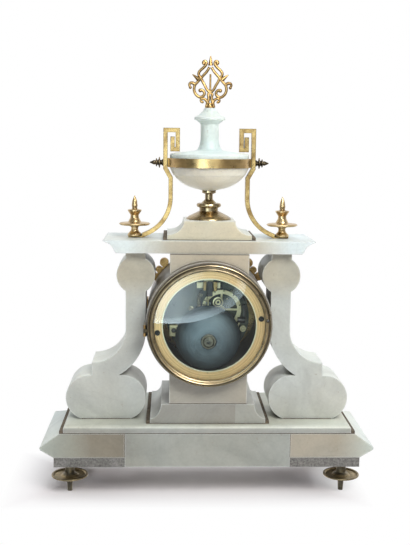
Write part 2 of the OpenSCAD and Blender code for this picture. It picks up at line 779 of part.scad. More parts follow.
module strap_screws() {
    head_r = 2.6;
    head_h = 1.2;
    slot_w = 0.6;
    color(steel) rear_side() at_straps() difference() {
        union() {
            translate([0, 0, -screw_len]) cylinder(r = screw_r, h = screw_len + ring_t);
            translate([0, 0, ring_t]) cylinder(r = head_r, h = head_h);
        }
        translate([-head_r, -slot_w / 2, ring_t + head_h / 2]) cube([2 * head_r, slot_w, head_h]);
    }
}

// Hinge on the +x side of a door that faces +z, its axis along y, for a bezel of radius r
function hinge_x(r) = max(drum_r + leaf_t / 2, r + knuckle_r + 2 * side_c);
hinge_z = knuckle_r + side_c;
knuckle_len = 3.4;
leaf_t = 1.2;
leaf_len = 10;
module on_hinge(r, y) { translate([hinge_x(r), hinge_rise + y, hinge_z]) rotate([-90, 0, 0]) children(); }

module hinge_leaf(r) {
    end = knuckle_len / 2 + side_c;
    tall = 2 * (end + knuckle_len);
    difference() {
        union() {
            intersection() {
                translate([0, 0, -leaf_len]) linear_extrude(leaf_len + hinge_z) difference() {
                    circle(drum_r + bed_c + leaf_t);
                    circle(drum_r + bed_c);
                }
                translate([0, hinge_rise - tall / 2, -leaf_len]) cube([2 * drum_r, tall, 2 * leaf_len]);
            }
            for (y = [-end - knuckle_len, end]) on_hinge(r, y) cylinder(r = knuckle_r, h = knuckle_len);
        }
        translate([drum_r - 8, hinge_rise - end, -side_c]) cube([16, 2 * end, leaf_len]);
        on_hinge(r, -tall) cylinder(r = hinge_pin_r + run_c, h = 2 * tall);
    }
}

module hinge_leaves() {
    color(brass) {
        rear_door_side() hinge_leaf(rear_bezel_r);
        front_side() hinge_leaf(front_bezel_r);
    }
}

module hinge_pin(r) {
    tall = 3 * knuckle_len + 2 * side_c;
    on_hinge(r, -tall / 2) cylinder(r = hinge_pin_r, h = tall);
}

module hinge_pins() {
    color(steel) {
        rear_door_side() hinge_pin(rear_bezel_r);
        front_side() hinge_pin(front_bezel_r);
    }
}

skirt_r = ring_r + 2 * side_c;

// Turned bezel with a skirt round the ring, a ribbed face that holds the glass, and the door's hinge knuckle;
// the face runs inward from the rim as shares of its width and its thickness
bezel_face = [[0, 0.1], [0.05, 0.45], [0.17, 0.58], [0.27, 0.35], [0.33, 0.7], [0.46, 1], [0.6, 0.8],
    [0.66, 0.45], [0.78, 0.55], [0.9, 0.4], [1, 0.2]];
module bezel(r, face_w, seat) {
    sight_r = r - face_w;
    face = [for (p = bezel_face) [r - p[0] * face_w, seat + p[1] * face_t]];
    difference() {
        union() {
            rotate_extrude()
                polygon(concat([[skirt_r, side_c], [r, side_c]], face, [[sight_r, seat], [skirt_r, seat]]));
            translate([r - 1, hinge_rise - knuckle_len / 2, side_c])
                cube([hinge_x(r) - r + 1, knuckle_len, 2 * knuckle_r]);
            on_hinge(r, -knuckle_len / 2) cylinder(r = knuckle_r, h = knuckle_len);
        }
        on_hinge(r, -knuckle_len) cylinder(r = hinge_pin_r + run_c, h = 2 * knuckle_len);
        cylinder(r = skirt_r, h = seat);
    }
}

// Bulged glass: a shell between two spheres, seated behind the bezel's face
module door_glass(sight_r, seat) {
    edge_r = skirt_r - run_c;
    ball_r = (sight_r * sight_r + glass_sag * glass_sag) / (2 * glass_sag);
    rotate_extrude() polygon(concat(
        [for (i = [0:12]) let (x = sight_r * i / 12)
            [x, seat + sqrt(pow(ball_r, 2) - x * x) - ball_r + glass_sag]],
        [[edge_r, seat], [edge_r, seat - glass_t]],
        [for (i = [12:-1:0]) let (x = sight_r * i / 12)
            [x, seat - glass_t + sqrt(pow(ball_r, 2) - x * x) - ball_r + glass_sag]]));
}

rear_sight_r = rear_bezel_r - rear_face_w;
front_sight_r = front_bezel_r - front_face_w;
module rear_bezel() { color(brass) rear_door_side() bezel(rear_bezel_r, rear_face_w, rear_seat); }
module front_bezel() { color(brass) front_side() bezel(front_bezel_r, front_face_w, front_seat); }
module rear_glass() { color(glass_color) rear_side() door_glass(rear_sight_r, rear_seat); }
module front_glass() { color(glass_color) front_side() door_glass(front_sight_r, front_seat); }

// Wheel trains: places of the arbors from the drum's axis, as seen from the dial

m_great = 0.4286;
great_teeth = 84;
center_leaves = 14;
second_leaves = 12;
m_train = 0.3333;
center_teeth = 72;
third_leaves = 9;
third_teeth = 60;
escape_leaves = 8;
second_teeth = 60;
pin_leaves = 8;
pin_teeth = 54;
fly_leaves = 6;
escape_r = 9;

function pitch(n, m) = n * m / 2;

center_at = [0, 0];
going_at = polar(pitch(great_teeth + center_leaves, m_great), -35);
strike_at = [-going_at[0], going_at[1]];
third_at = polar(pitch(center_teeth + third_leaves, m_train), 90);
escape_at = third_at + polar(pitch(third_teeth + escape_leaves, m_train), 50);
anchor_at = [0, 34];
second_at = strike_at + polar(pitch(great_teeth + second_leaves, m_great), 79.6);
pin_at = second_at + polar(pitch(second_teeth + pin_leaves, m_train), 120);
fly_at = pin_at + polar(pitch(pin_teeth + fly_leaves, m_train), 170);
hammer_at = [-36, 12];
edge_in = 4.5;
pillar_at = [for (a = [62, 118, -72, -108]) polar(mv_r - edge_in, a)];
minute_at = [0, -12];

pivot_r = 0.6;
arbor_r = 1;
center_arbor_r = 1.5;
wind_r = 2.4;
pivots = [third_at, escape_at, pin_at, fly_at];

// Outline of a wheel or a pinion whose tooth lies at the angle turn
module toothed(n, m, turn, fill = 0.42) {
    r = pitch(n, m);
    step = 360 / n;
    tip_r = r + 0.8 * m;
    root_r = r - 1.25 * m;
    tip = step * fill * 0.24;
    base = step * fill * 0.62;
    tooth = [[root_r, -base], [tip_r, -tip], [tip_r, tip], [root_r, base]];
    rotate(turn) polygon([for (i = [0:n - 1], p = tooth) polar(p[0], i * step + p[1])]);
}

// Wheel with four crossings cut out between hub and rim
wheel_t = 1.6;
rim_w = 1.4;
hub_r = 2.6;
spoke_w = 1.3;
module crossed_wheel(n, m, turn) {
    rim = pitch(n, m) - 1.25 * m - rim_w;
    linear_extrude(wheel_t) difference() {
        toothed(n, m, turn);
        difference() {
            circle(rim);
            circle(hub_r);
            for (a = [0, 90]) rotate(a + 45) square([2 * rim, spoke_w], center = true);
        }
    }
}

module pinion(n, m, turn, h) { linear_extrude(h) toothed(n, m, turn, 0.4); }

// Between the plates: z runs forward from the back plate's inner face
module train(p, z) { mv(back_plate_d + mv_t + z) translate([p[0], p[1], 0]) children(); }

// Pinions stand out on both sides of the wheels they work with
pinion_past = 1;
pinion_h = wheel_t + 2 * pinion_past;

// Arbor between the plates with a pivot in each
module plain_arbor(p) {
    train(p, -mv_t) cylinder(r = pivot_r, h = mv_gap + 2 * mv_t);
    train(p, side_c) cylinder(r = arbor_r, h = mv_gap - 2 * side_c);
}

barrel_r = 15;
barrel_h = 16;
great_h = 2.5;
going_great_z = 25.8;
strike_great_z = 3.8;
great_past = 1.5;
barrel_pivot_r = 1.6;
wind_square = 3.2;
wind_square_len = 5;
wind_in = 3;
module barrel(p, great_z, drum_z, turn, reach) {
    train(p, great_z) linear_extrude(great_h) toothed(great_teeth, m_great, turn);
    train(p, drum_z) cylinder(r = barrel_r, h = barrel_h);
    train(p, -mv_t) cylinder(r = barrel_pivot_r, h = mv_t + 2 * side_c);
    train(p, side_c) cylinder(r = wind_r, h = reach);
    train(p, reach) linear_extrude(wind_square_len) square(wind_square, center = true);
}

wind_reach = drum_d1 + ring_t - back_plate_d - mv_t - wind_in;
module going_barrel() {
    turn = heading(going_at, center_at);
    color(brass) barrel(going_at, going_great_z, going_great_z - barrel_h, turn, wind_reach);
}

module strike_barrel() {
    turn = heading(strike_at, second_at);
    color(brass) barrel(strike_at, strike_great_z, strike_great_z + great_h, turn, wind_reach);
}

center_wheel_z = 31.8;
module center_wheel() {
    color(brass) {
        train(center_at, -mv_t) cylinder(r = pivot_r, h = mv_t + 2 * side_c);
        train(center_at, side_c) cylinder(r = center_arbor_r, h = hand_reach);
        train(center_at, going_great_z - great_past) pinion(center_leaves, m_great,
            heading(center_at, going_at) + 180 / center_leaves, great_h + 2 * great_past);
        train(center_at, center_wheel_z) crossed_wheel(center_teeth, m_train, heading(center_at, third_at));
        train(center_at, cannon_z) pinion(cannon_leaves, m_motion, heading(center_at, minute_at), cannon_h);
        train(center_at, cannon_z) cylinder(r = cannon_r, h = hand_reach - cannon_z - cannon_end);
    }
}

third_wheel_z = 10;
module third_wheel() {
    color(brass) {
        plain_arbor(third_at);
        train(third_at, center_wheel_z - pinion_past)
            pinion(third_leaves, m_train, heading(third_at, center_at) + 180 / third_leaves, pinion_h);
        train(third_at, third_wheel_z) crossed_wheel(third_teeth, m_train, heading(third_at, escape_at));
    }
}

escape_z = 4;
escape_teeth = 30;
escape_tooth_h = 1.5;
escape_rim = 1.1;
escape_t = 1.2;
module escape_wheel() {
    step = 360 / escape_teeth;
    root_r = escape_r - escape_tooth_h;
    color(brass) {
        plain_arbor(escape_at);
        train(escape_at, third_wheel_z - pinion_past)
            pinion(escape_leaves, m_train, heading(escape_at, third_at) + 180 / escape_leaves, pinion_h);
        train(escape_at, escape_z) linear_extrude(escape_t) difference() {
            polygon([for (i = [0:escape_teeth - 1], p = [[root_r, 0], [escape_r, 0.34 * step]])
                polar(p[0], i * step + p[1])]);
            difference() {
                circle(root_r - escape_rim);
                circle(hub_r);
                for (a = [0, 90]) rotate(a) square([2 * escape_r, spoke_w], center = true);
            }
        }
    }
}

// Anchor over the escape wheel, with the crutch behind the back plate
cock_d = 25;
crutch_len = 19;
pendulum_d = 31;
prong_gap = 1.5;
pallet_gap = 1.6;
pallet_w = 1.2;
pallet_spread = 62;
crutch_in = 3.6;
crutch_t = 1;
crutch_w = 1.6;
crutch_eye_r = 2;
prong_w = 0.8;
prong_h = 1.4;
prong_past = 1.4;
module pallet_anchor() {
    reach = norm(anchor_at - escape_at);
    aim = heading(anchor_at, escape_at);
    pad_r = escape_r + pallet_gap;
    rear_d = cock_d + cock_t + side_c;
    fork_w = prong_gap + prong_w;
    color(steel) {
        mv(cock_d + side_c) translate(anchor_at)
            cylinder(r = pivot_r, h = front_plate_d + mv_t - cock_d - side_c);
        mv(rear_d) translate(anchor_at) cylinder(r = arbor_r, h = front_plate_d - side_c - rear_d);
        train(anchor_at, escape_z) linear_extrude(escape_t) rotate(aim) for (s = [-1, 1])
            line_stroke([0, 0], [reach, 0] - polar(pad_r, s * pallet_spread), pallet_w);
        mv(pendulum_d + crutch_in) translate(anchor_at) linear_extrude(crutch_t) {
            circle(crutch_eye_r);
            translate([-crutch_w / 2, -crutch_len]) square([crutch_w, crutch_len]);
            translate([-fork_w, -crutch_len - prong_h / 2]) square([2 * fork_w, prong_h]);
        }
        for (x = [-fork_w, prong_gap]) mv(pendulum_d - prong_past)
            linear_extrude(prong_past + crutch_in + crutch_t)
                translate(anchor_at + [x, -crutch_len - prong_h / 2]) square([prong_w, prong_h]);
    }
}

// Cock on the back plate that carries the anchor's rear pivot and the suspension
susp_rise = 6;
susp_at = anchor_at + [0, susp_rise];
cock_t = 2;
cock_foot_x = 9.5;
cock_foot_r = 1.8;
cock_arm_h = 5.6;
cock_head_w = 9;
cock_head_h = 12;
cheek_w = 2.4;
cheek_h = 3.8;
cheek_d = 7.2;
bead_r = 0.45;
module suspension_cock() {
    color(brass) difference() {
        union() {
            mv(cock_d) linear_extrude(cock_t) translate(anchor_at) {
                square([2 * cock_foot_x + 2 * cock_foot_r, cock_arm_h], center = true);
                translate([-cock_head_w / 2, -cock_arm_h / 2]) square([cock_head_w, cock_head_h]);
            }
            for (x = [-cock_foot_x, cock_foot_x]) mv(cock_d + cock_t) translate(anchor_at + [x, 0, 0])
                cylinder(r = cock_foot_r, h = back_plate_d - cock_d - cock_t);
            for (x = [-bead_r - run_c - cheek_w, bead_r + run_c]) mv(cock_d + cock_t)
                translate(susp_at + [x, -cheek_h / 3, 0]) cube([cheek_w, cheek_h, cheek_d]);
        }
        mv(cock_d - 1) translate(anchor_at) cylinder(r = pivot_r + run_c, h = cock_t + 2);
    }
}

// Pendulum: a spring strip with a beaded top between the cock's cheeks, an eye round the anchor's arbor, a rod
// and a bob
spring_t = 0.4;
spring_d = 4;
eye_r = 2.2;
eye_t = 1;
pend_rod_r = 0.9;
bob_t = 5.2;
module pendulum() {
    eye_top = anchor_at[1] + eye_r + eye_t / 2;
    bob_y = susp_at[1] - pendulum_len;
    color(brass) {
        mv(pendulum_d - spring_d / 2) translate(susp_at) cylinder(r = bead_r, h = spring_d);
        mv(pendulum_d - spring_d / 2) translate([-spring_t / 2, eye_top, 0])
            cube([spring_t, susp_at[1] - eye_top, spring_d]);
        mv(pendulum_d - pend_rod_r) translate(anchor_at) linear_extrude(2 * pend_rod_r) difference() {
            circle(eye_r + eye_t);
            circle(eye_r);
        }
        mv(pendulum_d) translate([0, bob_y, 0]) rotate([-90, 0, 0])
            cylinder(r = pend_rod_r, h = anchor_at[1] - eye_r - eye_t / 2 - bob_y);
        mv(pendulum_d - bob_t * 0.42) translate([0, bob_y, 0]) rotate_extrude() polygon(scaled_outline(
            [[0, 0], [0.75, 0.12], [1, 0.5], [0.75, 0.88], [0, 1]], bob_r, bob_t));
    }
}

// Striking train: second wheel with the count wheel behind the back plate, pin wheel, fly and hammer

second_z = 27.8;
count_d = 36.4;
count_rim = 4;
count_hub_r = 3.4;
count_spoke_w = 1.8;
notch_h = 1.8;
notch_w = 1;
module count_wheel() {
    slots = [for (n = 0, k = 0; n < 12; n = n + 1, k = k + n) k];
    strokes = 78;
    color(brass) {
        train(second_at, side_c) cylinder(r = arbor_r, h = mv_gap - 2 * side_c);
        train(second_at, mv_gap - 2 * side_c) cylinder(r = pivot_r, h = mv_t + 2 * side_c);
        mv(count_d) translate(second_at)
            cylinder(r = arbor_r, h = back_plate_d + mv_t - count_d + 2 * side_c);
        train(second_at, strike_great_z - pinion_past) pinion(second_leaves, m_great,
            heading(second_at, strike_at) + 180 / second_leaves, great_h + 2 * pinion_past);
        train(second_at, second_z) crossed_wheel(second_teeth, m_train, heading(second_at, pin_at));
        mv(count_d) translate(second_at) linear_extrude(wheel_t) difference() {
            circle(count_r);
            difference() {
                circle(count_r - count_rim);
                circle(count_hub_r);
                for (a = [0, 90]) rotate(a) square([2 * count_r, count_spoke_w], center = true);
            }
            for (k = slots) rotate(360 * k / strokes) translate([count_r - notch_h, -notch_w / 2])
                square([2 * notch_h, notch_w]);
        }
    }
}

pin_z = 17.8;
pin_ring_r = 7;
lift_pin_r = 0.45;
lift_pin_len = 3.4;
module pin_wheel() {
    color(brass) {
        plain_arbor(pin_at);
        train(pin_at, second_z - pinion_past)
            pinion(pin_leaves, m_train, heading(pin_at, second_at) + 180 / pin_leaves, pinion_h);
        train(pin_at, pin_z) crossed_wheel(pin_teeth, m_train, heading(pin_at, fly_at));
        for (i = [0:7]) train(pin_at, pin_z + wheel_t) rotate(i * 45) translate([pin_ring_r, 0, 0])
            cylinder(r = lift_pin_r, h = lift_pin_len);
    }
}

// The fly's arbor is as thin as its pivots, because the wheel that drives it reaches close to its axis
fly_r = 4.2;
fly_t = 0.8;
fly_h = 12;
fly_z = 3;
module fly() {
    color(brass) {
        train(fly_at, -mv_t) cylinder(r = pivot_r, h = mv_gap + 2 * mv_t);
        train(fly_at, pin_z - pinion_past)
            pinion(fly_leaves, m_train, heading(fly_at, pin_at) + 180 / fly_leaves, pinion_h);
        train(fly_at, fly_z) translate([-fly_r, -fly_t / 2, 0]) cube([2 * fly_r, fly_t, fly_h]);
    }
}

hammer_d = 30;
head_r = 2.8;
head_len = 7;
head_drop = 12.5;
head_gap = 0.8;
head_back = 2.4;
arm_w = 1.8;
arm_lean = 0.6;
tail_w = 1.4;
tail_gap = 0.45;
module hammer() {
    tail = norm(pin_at - hammer_at) - pin_ring_r - lift_pin_r - tail_gap;
    face_y = bell_drop + hammer_at[1] - head_drop - head_r - side_c;
    head_x = -sqrt(pow(bell_r, 2) - pow(face_y, 2)) - head_gap;
    color(steel) {
        mv(hammer_d) translate(hammer_at) cylinder(r = arbor_r, h = front_plate_d - side_c - hammer_d);
        train(hammer_at, mv_gap - 2 * side_c) cylinder(r = pivot_r, h = mv_t + 2 * side_c);
        train(hammer_at, pin_z + wheel_t + pinion_past) linear_extrude(wheel_t)
            line_stroke([0, 0], polar(tail, heading(hammer_at, pin_at)), tail_w);
        mv(hammer_d) translate(hammer_at) linear_extrude(arm_w) {
            circle(crutch_eye_r);
            line_stroke([0, 0], [arm_lean, -head_drop], arm_w);
        }
        mv(hammer_d - head_back) translate([head_x - head_len, hammer_at[1] - head_drop, 0])
            rotate([0, 90, 0]) cylinder(r = head_r, h = head_len);
    }
}

// Bell, open forward, on a stand that springs from the lower part of the back plate
module bell() {
    turns = [for (i = [0:9]) 9 * i];
    outer = [for (a = turns) [bell_r * (cos(a) * 0.94 + 0.02), bell_h * (0.12 + 0.88 * sin(a))]];
    inner = [for (i = [9:-1:0]) outer[i] - bell_t * [0.25 + 0.75 * cos(turns[i]), sin(turns[i])]];
    color(bell_color) mv(bell_rim_d) translate([0, -bell_drop, 0]) rotate([180, 0, 0]) rotate_extrude()
        polygon(concat([[bell_r, 0]], outer, [[stand_r + run_c, bell_h], [stand_r + run_c, bell_h - bell_t]],
            inner, [[bell_r - bell_t, 0]]));
}

stand_r = 1.8;
stand_foot = [22, -29];
stand_in = 7;
flange_r = 4;
flange_h = 2;
collar_r = 4.4;
collar_h = 1.4;
bell_nut_r = 6.8;
bell_nut_h = 3;
nut_bevel = 1.2;
stud_past = 1.2;
module bell_stand() {
    arm_d = bell_rim_d - stand_in;
    top_d = bell_rim_d - bell_h;
    stud_d = top_d - run_c - bell_nut_h - stud_past;
    color(brass) {
        mv(arm_d - stand_r) translate(stand_foot) cylinder(r = stand_r, h = back_plate_d - arm_d + stand_r);
        mv(back_plate_d - flange_h) translate(stand_foot) cylinder(r = flange_r, h = flange_h);
        mv(arm_d - stand_r) linear_extrude(2 * stand_r) line_stroke(stand_foot, [0, -bell_drop], 2 * stand_r);
        mv(stud_d) translate([0, -bell_drop, 0]) cylinder(r = stand_r, h = arm_d + stand_r - stud_d);
        mv(top_d + bell_t + side_c) translate([0, -bell_drop, 0]) cylinder(r = collar_r, h = collar_h);
        mv(top_d - run_c - bell_nut_h) translate([0, -bell_drop, 0]) rotate_extrude() polygon([[0, 0],
            [bell_nut_r - 2 * nut_bevel, 0], [bell_nut_r - nut_bevel, nut_bevel],
            [bell_nut_r - nut_bevel, bell_nut_h / 2], [bell_nut_r, bell_nut_h / 2], [bell_nut_r, bell_nut_h],
            [0, bell_nut_h]]);
    }
}

// Plates

anchor_hole_r = 3;
minute_post_h = 8.5;
pillar_r = 3.2;
pillar_end = 1.5;

module plate_holes() {
    for (p = pivots) translate(p) circle(pivot_r + run_c);
}

module back_plate() {
    color(brass) mv(back_plate_d) linear_extrude(mv_t) difference() {
        circle(mv_r);
        plate_holes();
        translate(center_at) circle(pivot_r + run_c);
        for (p = [going_at, strike_at]) translate(p) circle(barrel_pivot_r + run_c);
        for (p = [second_at, hammer_at]) translate(p) circle(arbor_r + run_c);
        translate(anchor_at) circle(anchor_hole_r);
    }
}

module front_plate() {
    color(brass) {
        mv(front_plate_d) linear_extrude(mv_t) difference() {
            circle(mv_r);
            plate_holes();
            for (p = [second_at, hammer_at, anchor_at]) translate(p) circle(pivot_r + run_c);
            translate(center_at) circle(center_arbor_r + run_c);
            for (p = [going_at, strike_at]) translate(p) circle(wind_r + run_c);
        }
        mv(front_plate_d) translate(minute_at) cylinder(r = arbor_r, h = mv_t + minute_post_h);
    }
}

module pillars() {
    waist_r = pillar_r * 0.7;
    color(brass) for (p = pillar_at) train(p, 0) rotate_extrude() polygon([[0, 0], [pillar_r, 0],
        [pillar_r, pillar_end], [waist_r, 2 * pillar_end], [pillar_r * 0.8, mv_gap / 2],
        [waist_r, mv_gap - 2 * pillar_end], [pillar_r, mv_gap - pillar_end], [pillar_r, mv_gap], [0, mv_gap]]);
}

// Motion work, hands and dial

m_motion = 0.5;
cannon_leaves = 12;
minute_teeth = 36;
m_hour = 0.48;
minute_leaves = 10;
hour_teeth = 40;
cannon_r = 2.1;
cannon_h = 4;
cannon_end = 1;
hour_pipe_r = 3;
motion_t = 1.4;
motion_gap = 0.8;
minute_pinion_h = 6.6;
cannon_z = mv_gap + mv_t + 1.5 * motion_gap;
minute_wheel_z = cannon_z + motion_gap;
hour_z = cannon_z + cannon_h + cannon_end;
dial_d = drum_d1 + ring_t;
hand_t = 0.8;
hand_gap = 1;
hour_hand_d = dial_d + dial_t + 1.5 * hand_gap;
minute_hand_d = hour_hand_d + hand_t + hand_gap;
hand_reach = minute_hand_d + hand_t + hand_gap - back_plate_d - mv_t - side_c;

module minute_wheel() {
    color(brass) train(minute_at, minute_wheel_z) difference() {
        union() {
            linear_extrude(motion_t) toothed(minute_teeth, m_motion, 90 + 180 / minute_teeth);
            linear_extrude(minute_pinion_h) toothed(minute_leaves, m_hour, 90 + 180 / minute_leaves, 0.4);
        }
        translate([0, 0, -1]) cylinder(r = arbor_r + run_c, h = minute_pinion_h + 2);
    }
}

module hour_wheel() {
    color(brass) difference() {
        union() {
            train(center_at, hour_z) linear_extrude(motion_t) toothed(hour_teeth, m_hour, -90);
            train(center_at, hour_z)
                cylinder(r = hour_pipe_r, h = hour_hand_d - back_plate_d - mv_t - hour_z + hand_t);
        }
        train(center_at, hour_z - 1) cylinder(r = cannon_r + run_c, h = hand_reach);
    }
}

// Hand with a ring towards its point
hand_w = 2.2;
module hand(len, hub, bore, eye) {
    eye_at = len * 0.74;
    half = hand_w / 2;
    linear_extrude(hand_t) difference() {
        union() {
            circle(hub);
            polygon([[-half, 0], [half, 0], [half * 0.7, eye_at - eye / 2], [-half * 0.7, eye_at - eye / 2]]);
            translate([0, eye_at]) circle(eye);
            polygon([[-half * 0.8, eye_at + eye * 0.85], [half * 0.8, eye_at + eye * 0.85],
                [half * 0.14, len], [-half * 0.14, len]]);
        }
        circle(bore);
        translate([0, eye_at]) circle(eye - half * 0.8);
    }
}

hour_angle = -305;
minute_angle = -60;
hour_hub_r = 5;
hour_eye_r = 3;
minute_hub_r = 3.8;
minute_eye_r = 2.6;
module hour_hand() {
    color(bell_color) mv(hour_hand_d) rotate(hour_angle)
        hand(hour_len, hour_hub_r, hour_pipe_r + run_c, hour_eye_r);
}

module minute_hand() {
    color(bell_color) mv(minute_hand_d) rotate(minute_angle)
        hand(minute_len, minute_hub_r, cannon_r + run_c, minute_eye_r);
}

dial_foot_r = 1.5;
dial_gap = 1;
module dial() {
    feet_r = mv_r - edge_in;
    color(enamel) {
        mv(dial_d) linear_extrude(dial_t) difference() {
            circle(dial_r);
            circle(hour_pipe_r + dial_gap);
            for (p = [going_at, strike_at]) translate(p) circle(wind_r + dial_gap);
        }
        for (a = [25, 155, 270]) mv(front_plate_d + mv_t) translate(polar(feet_r, a))
            cylinder(r = dial_foot_r, h = dial_d - front_plate_d - mv_t);
    }
}

base_center_block();
base_block_left();
base_block_right();
base_plinths();
base_plate();
base_fillet();
feet();
pedestal();
pedestal_fillet();
lower_pier();
upper_pier();
drum();
column_left();
column_right();
entablature();
upper_pedestal();
upper_fillet();
urn_foot();
urn_bowl();
urn_band();
urn_lid();
urn_finial();
urn_rod();
handle_left();
handle_right();
handle_nuts();
corner_finials();
drum_scrolls();
rear_ring();
front_ring();
straps();
strap_screws();
hinge_leaves();
hinge_pins();
rear_bezel();
rear_glass();
front_bezel();
front_glass();
front_plate();
back_plate();
pillars();
going_barrel();
center_wheel();
third_wheel();
escape_wheel();
pallet_anchor();
suspension_cock();
pendulum();
strike_barrel();
count_wheel();
pin_wheel();
fly();
hammer();
bell();
bell_stand();
minute_wheel();
hour_wheel();
minute_hand();
hour_hand();
dial();
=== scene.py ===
import math

import bmesh
import bpy
from mathutils import Matrix, Vector


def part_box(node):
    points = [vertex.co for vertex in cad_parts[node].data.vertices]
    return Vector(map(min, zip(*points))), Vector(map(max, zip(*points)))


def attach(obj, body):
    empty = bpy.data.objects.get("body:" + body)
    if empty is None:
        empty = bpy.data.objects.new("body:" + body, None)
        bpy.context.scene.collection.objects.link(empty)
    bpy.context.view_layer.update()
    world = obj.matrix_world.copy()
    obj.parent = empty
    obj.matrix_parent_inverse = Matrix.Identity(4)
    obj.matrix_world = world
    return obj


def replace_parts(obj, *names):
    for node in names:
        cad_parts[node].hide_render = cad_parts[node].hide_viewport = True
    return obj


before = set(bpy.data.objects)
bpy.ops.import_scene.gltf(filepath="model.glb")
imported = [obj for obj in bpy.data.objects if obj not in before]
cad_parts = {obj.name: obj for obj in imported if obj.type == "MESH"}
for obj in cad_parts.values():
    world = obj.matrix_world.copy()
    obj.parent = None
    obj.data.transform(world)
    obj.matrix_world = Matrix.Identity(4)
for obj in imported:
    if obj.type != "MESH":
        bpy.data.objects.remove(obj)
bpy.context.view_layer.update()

MM = 0.001

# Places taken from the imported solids
drum_low, drum_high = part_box("drum")
DRUM_Z = (drum_low[2] + drum_high[2]) / 2
finial_low, finial_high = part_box("urn_finial")
URN_Y = (finial_low[1] + finial_high[1]) / 2
base_low, base_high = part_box("base_center_block")
BACK_Y = base_high[1]
end_low, end_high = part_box("base_block_left")
DIAL_FRONT_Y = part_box("dial")[0][1]
PLATE_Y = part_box("back_plate")[1][1]
COCK_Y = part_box("suspension_cock")[1][1]
BEZEL_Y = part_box("rear_bezel")[1][1]
STUD_END_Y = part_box("bell_stand")[1][1]
bell_low, bell_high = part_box("bell")
BELL_Z = (bell_low[2] + bell_high[2]) / 2
BELL_R = (bell_high[2] - bell_low[2]) / 2


# Shader helpers

def new_material(name):
    """A material with its node tree and shader."""
    material = bpy.data.materials.new(name)
    material.use_nodes = True
    tree = material.node_tree
    return material, tree, tree.nodes["Principled BSDF"]


def node(tree, kind, links=None, **settings):
    """Adds a node, sets its properties and inputs by name, and wires links of input name to output socket."""
    made = tree.nodes.new(kind)
    for key, value in settings.items():
        if key in made.inputs:
            made.inputs[key].default_value = value
        else:
            setattr(made, key, value)
    for key, socket in (links or {}).items():
        tree.links.new(socket, made.inputs[key])
    return made


def place(tree):
    """Coordinates in metres that stay with the piece."""
    return node(tree, "ShaderNodeTexCoord").outputs["Object"]


def noise(tree, scale, detail=4.0, roughness=0.55, distortion=0.0):
    """Cloudy values between 0 and 1; the scale counts clouds per metre."""
    made = node(tree, "ShaderNodeTexNoise", {"Vector": place(tree)}, Scale=scale, Detail=detail,
                Roughness=roughness, Distortion=distortion)
    return made.outputs["Fac"]


def ramp(tree, factor, stops):
    """Colour ramp through [position, (r, g, b)] stops."""
    made = node(tree, "ShaderNodeValToRGB", {"Fac": factor})
    elements = made.color_ramp.elements
    while len(elements) < len(stops):
        elements.new(0.5)
    for element, (position, color) in zip(elements, stops):
        element.position = position
        element.color = (*color, 1.0)
    return made.outputs["Color"]


def grey(level):
    """A colour with three equal parts."""
    return (level, level, level)


def scaled(color, share):
    """A colour made lighter or darker."""
    return tuple(min(1.0, share * part) for part in color)


def feed(tree, socket, value):
    """Wires an output to an input socket, or sets a colour or a number on it."""
    if isinstance(value, bpy.types.NodeSocket):
        tree.links.new(value, socket)
    elif isinstance(value, tuple):
        socket.default_value = (*value, 1.0)
    else:
        socket.default_value = value


def mix(tree, factor, first, second, blend="MIX"):
    """Blends two colours by a factor."""
    made = node(tree, "ShaderNodeMix", data_type="RGBA", blend_type=blend)
    for index, value in ((0, factor), (6, first), (7, second)):
        feed(tree, made.inputs[index], value)
    return made.outputs[2]


def multiply(tree, first, second):
    """Multiplies two colours."""
    return mix(tree, 1.0, first, second, "MULTIPLY")


def math_node(tree, operation, first, second=0.0):
    """One step of arithmetic on values."""
    made = node(tree, "ShaderNodeMath", operation=operation)
    for socket, value in zip(made.inputs, (first, second)):
        feed(tree, socket, value)
    return made.outputs[0]


def map_range(tree, value, from_low, from_high, to_low=0.0, to_high=1.0):
    """Carries a value from one range to another and holds it there."""
    made = node(tree, "ShaderNodeMapRange", {"Value": value})
    limits = {"From Min": from_low, "From Max": from_high, "To Min": to_low, "To Max": to_high}
    for key, limit in limits.items():
        feed(tree, made.inputs[key], limit)
    return made.outputs["Result"]


def along(tree, axis):
    """One coordinate of the piece, in metres."""
    return node(tree, "ShaderNodeSeparateXYZ", {"Vector": place(tree)}).outputs[axis]


def from_axis(tree, axis_z):
    """Distance from an axis that runs to the rear at a height, in metres."""
    rise = math_node(tree, "SUBTRACT", along(tree, "Z"), axis_z)
    flat = node(tree, "ShaderNodeCombineXYZ", {"X": along(tree, "X"), "Y": rise}).outputs["Vector"]
    return node(tree, "ShaderNodeVectorMath", {0: flat}, operation="LENGTH").outputs["Value"]


def edge_mask(tree, radius):
    """Rises from 0 on flat faces to 1 along edges sharper than the radius."""
    soft = node(tree, "ShaderNodeBevel", samples=4, Radius=radius).outputs["Normal"]
    flat = node(tree, "ShaderNodeNewGeometry").outputs["Normal"]
    alike = node(tree, "ShaderNodeVectorMath", {0: soft, 1: flat}, operation="DOT_PRODUCT")
    return ramp(tree, alike.outputs["Value"], [(0.78, grey(1.0)), (0.98, grey(0.0))])


def hollows(tree, reach, strength, open_from=0.75):
    """Rises to the strength in recesses that others overhang within the reach."""
    shade = node(tree, "ShaderNodeAmbientOcclusion", samples=5, Distance=reach).outputs["AO"]
    return ramp(tree, shade, [(0.25, grey(strength)), (open_from, grey(0.0))])


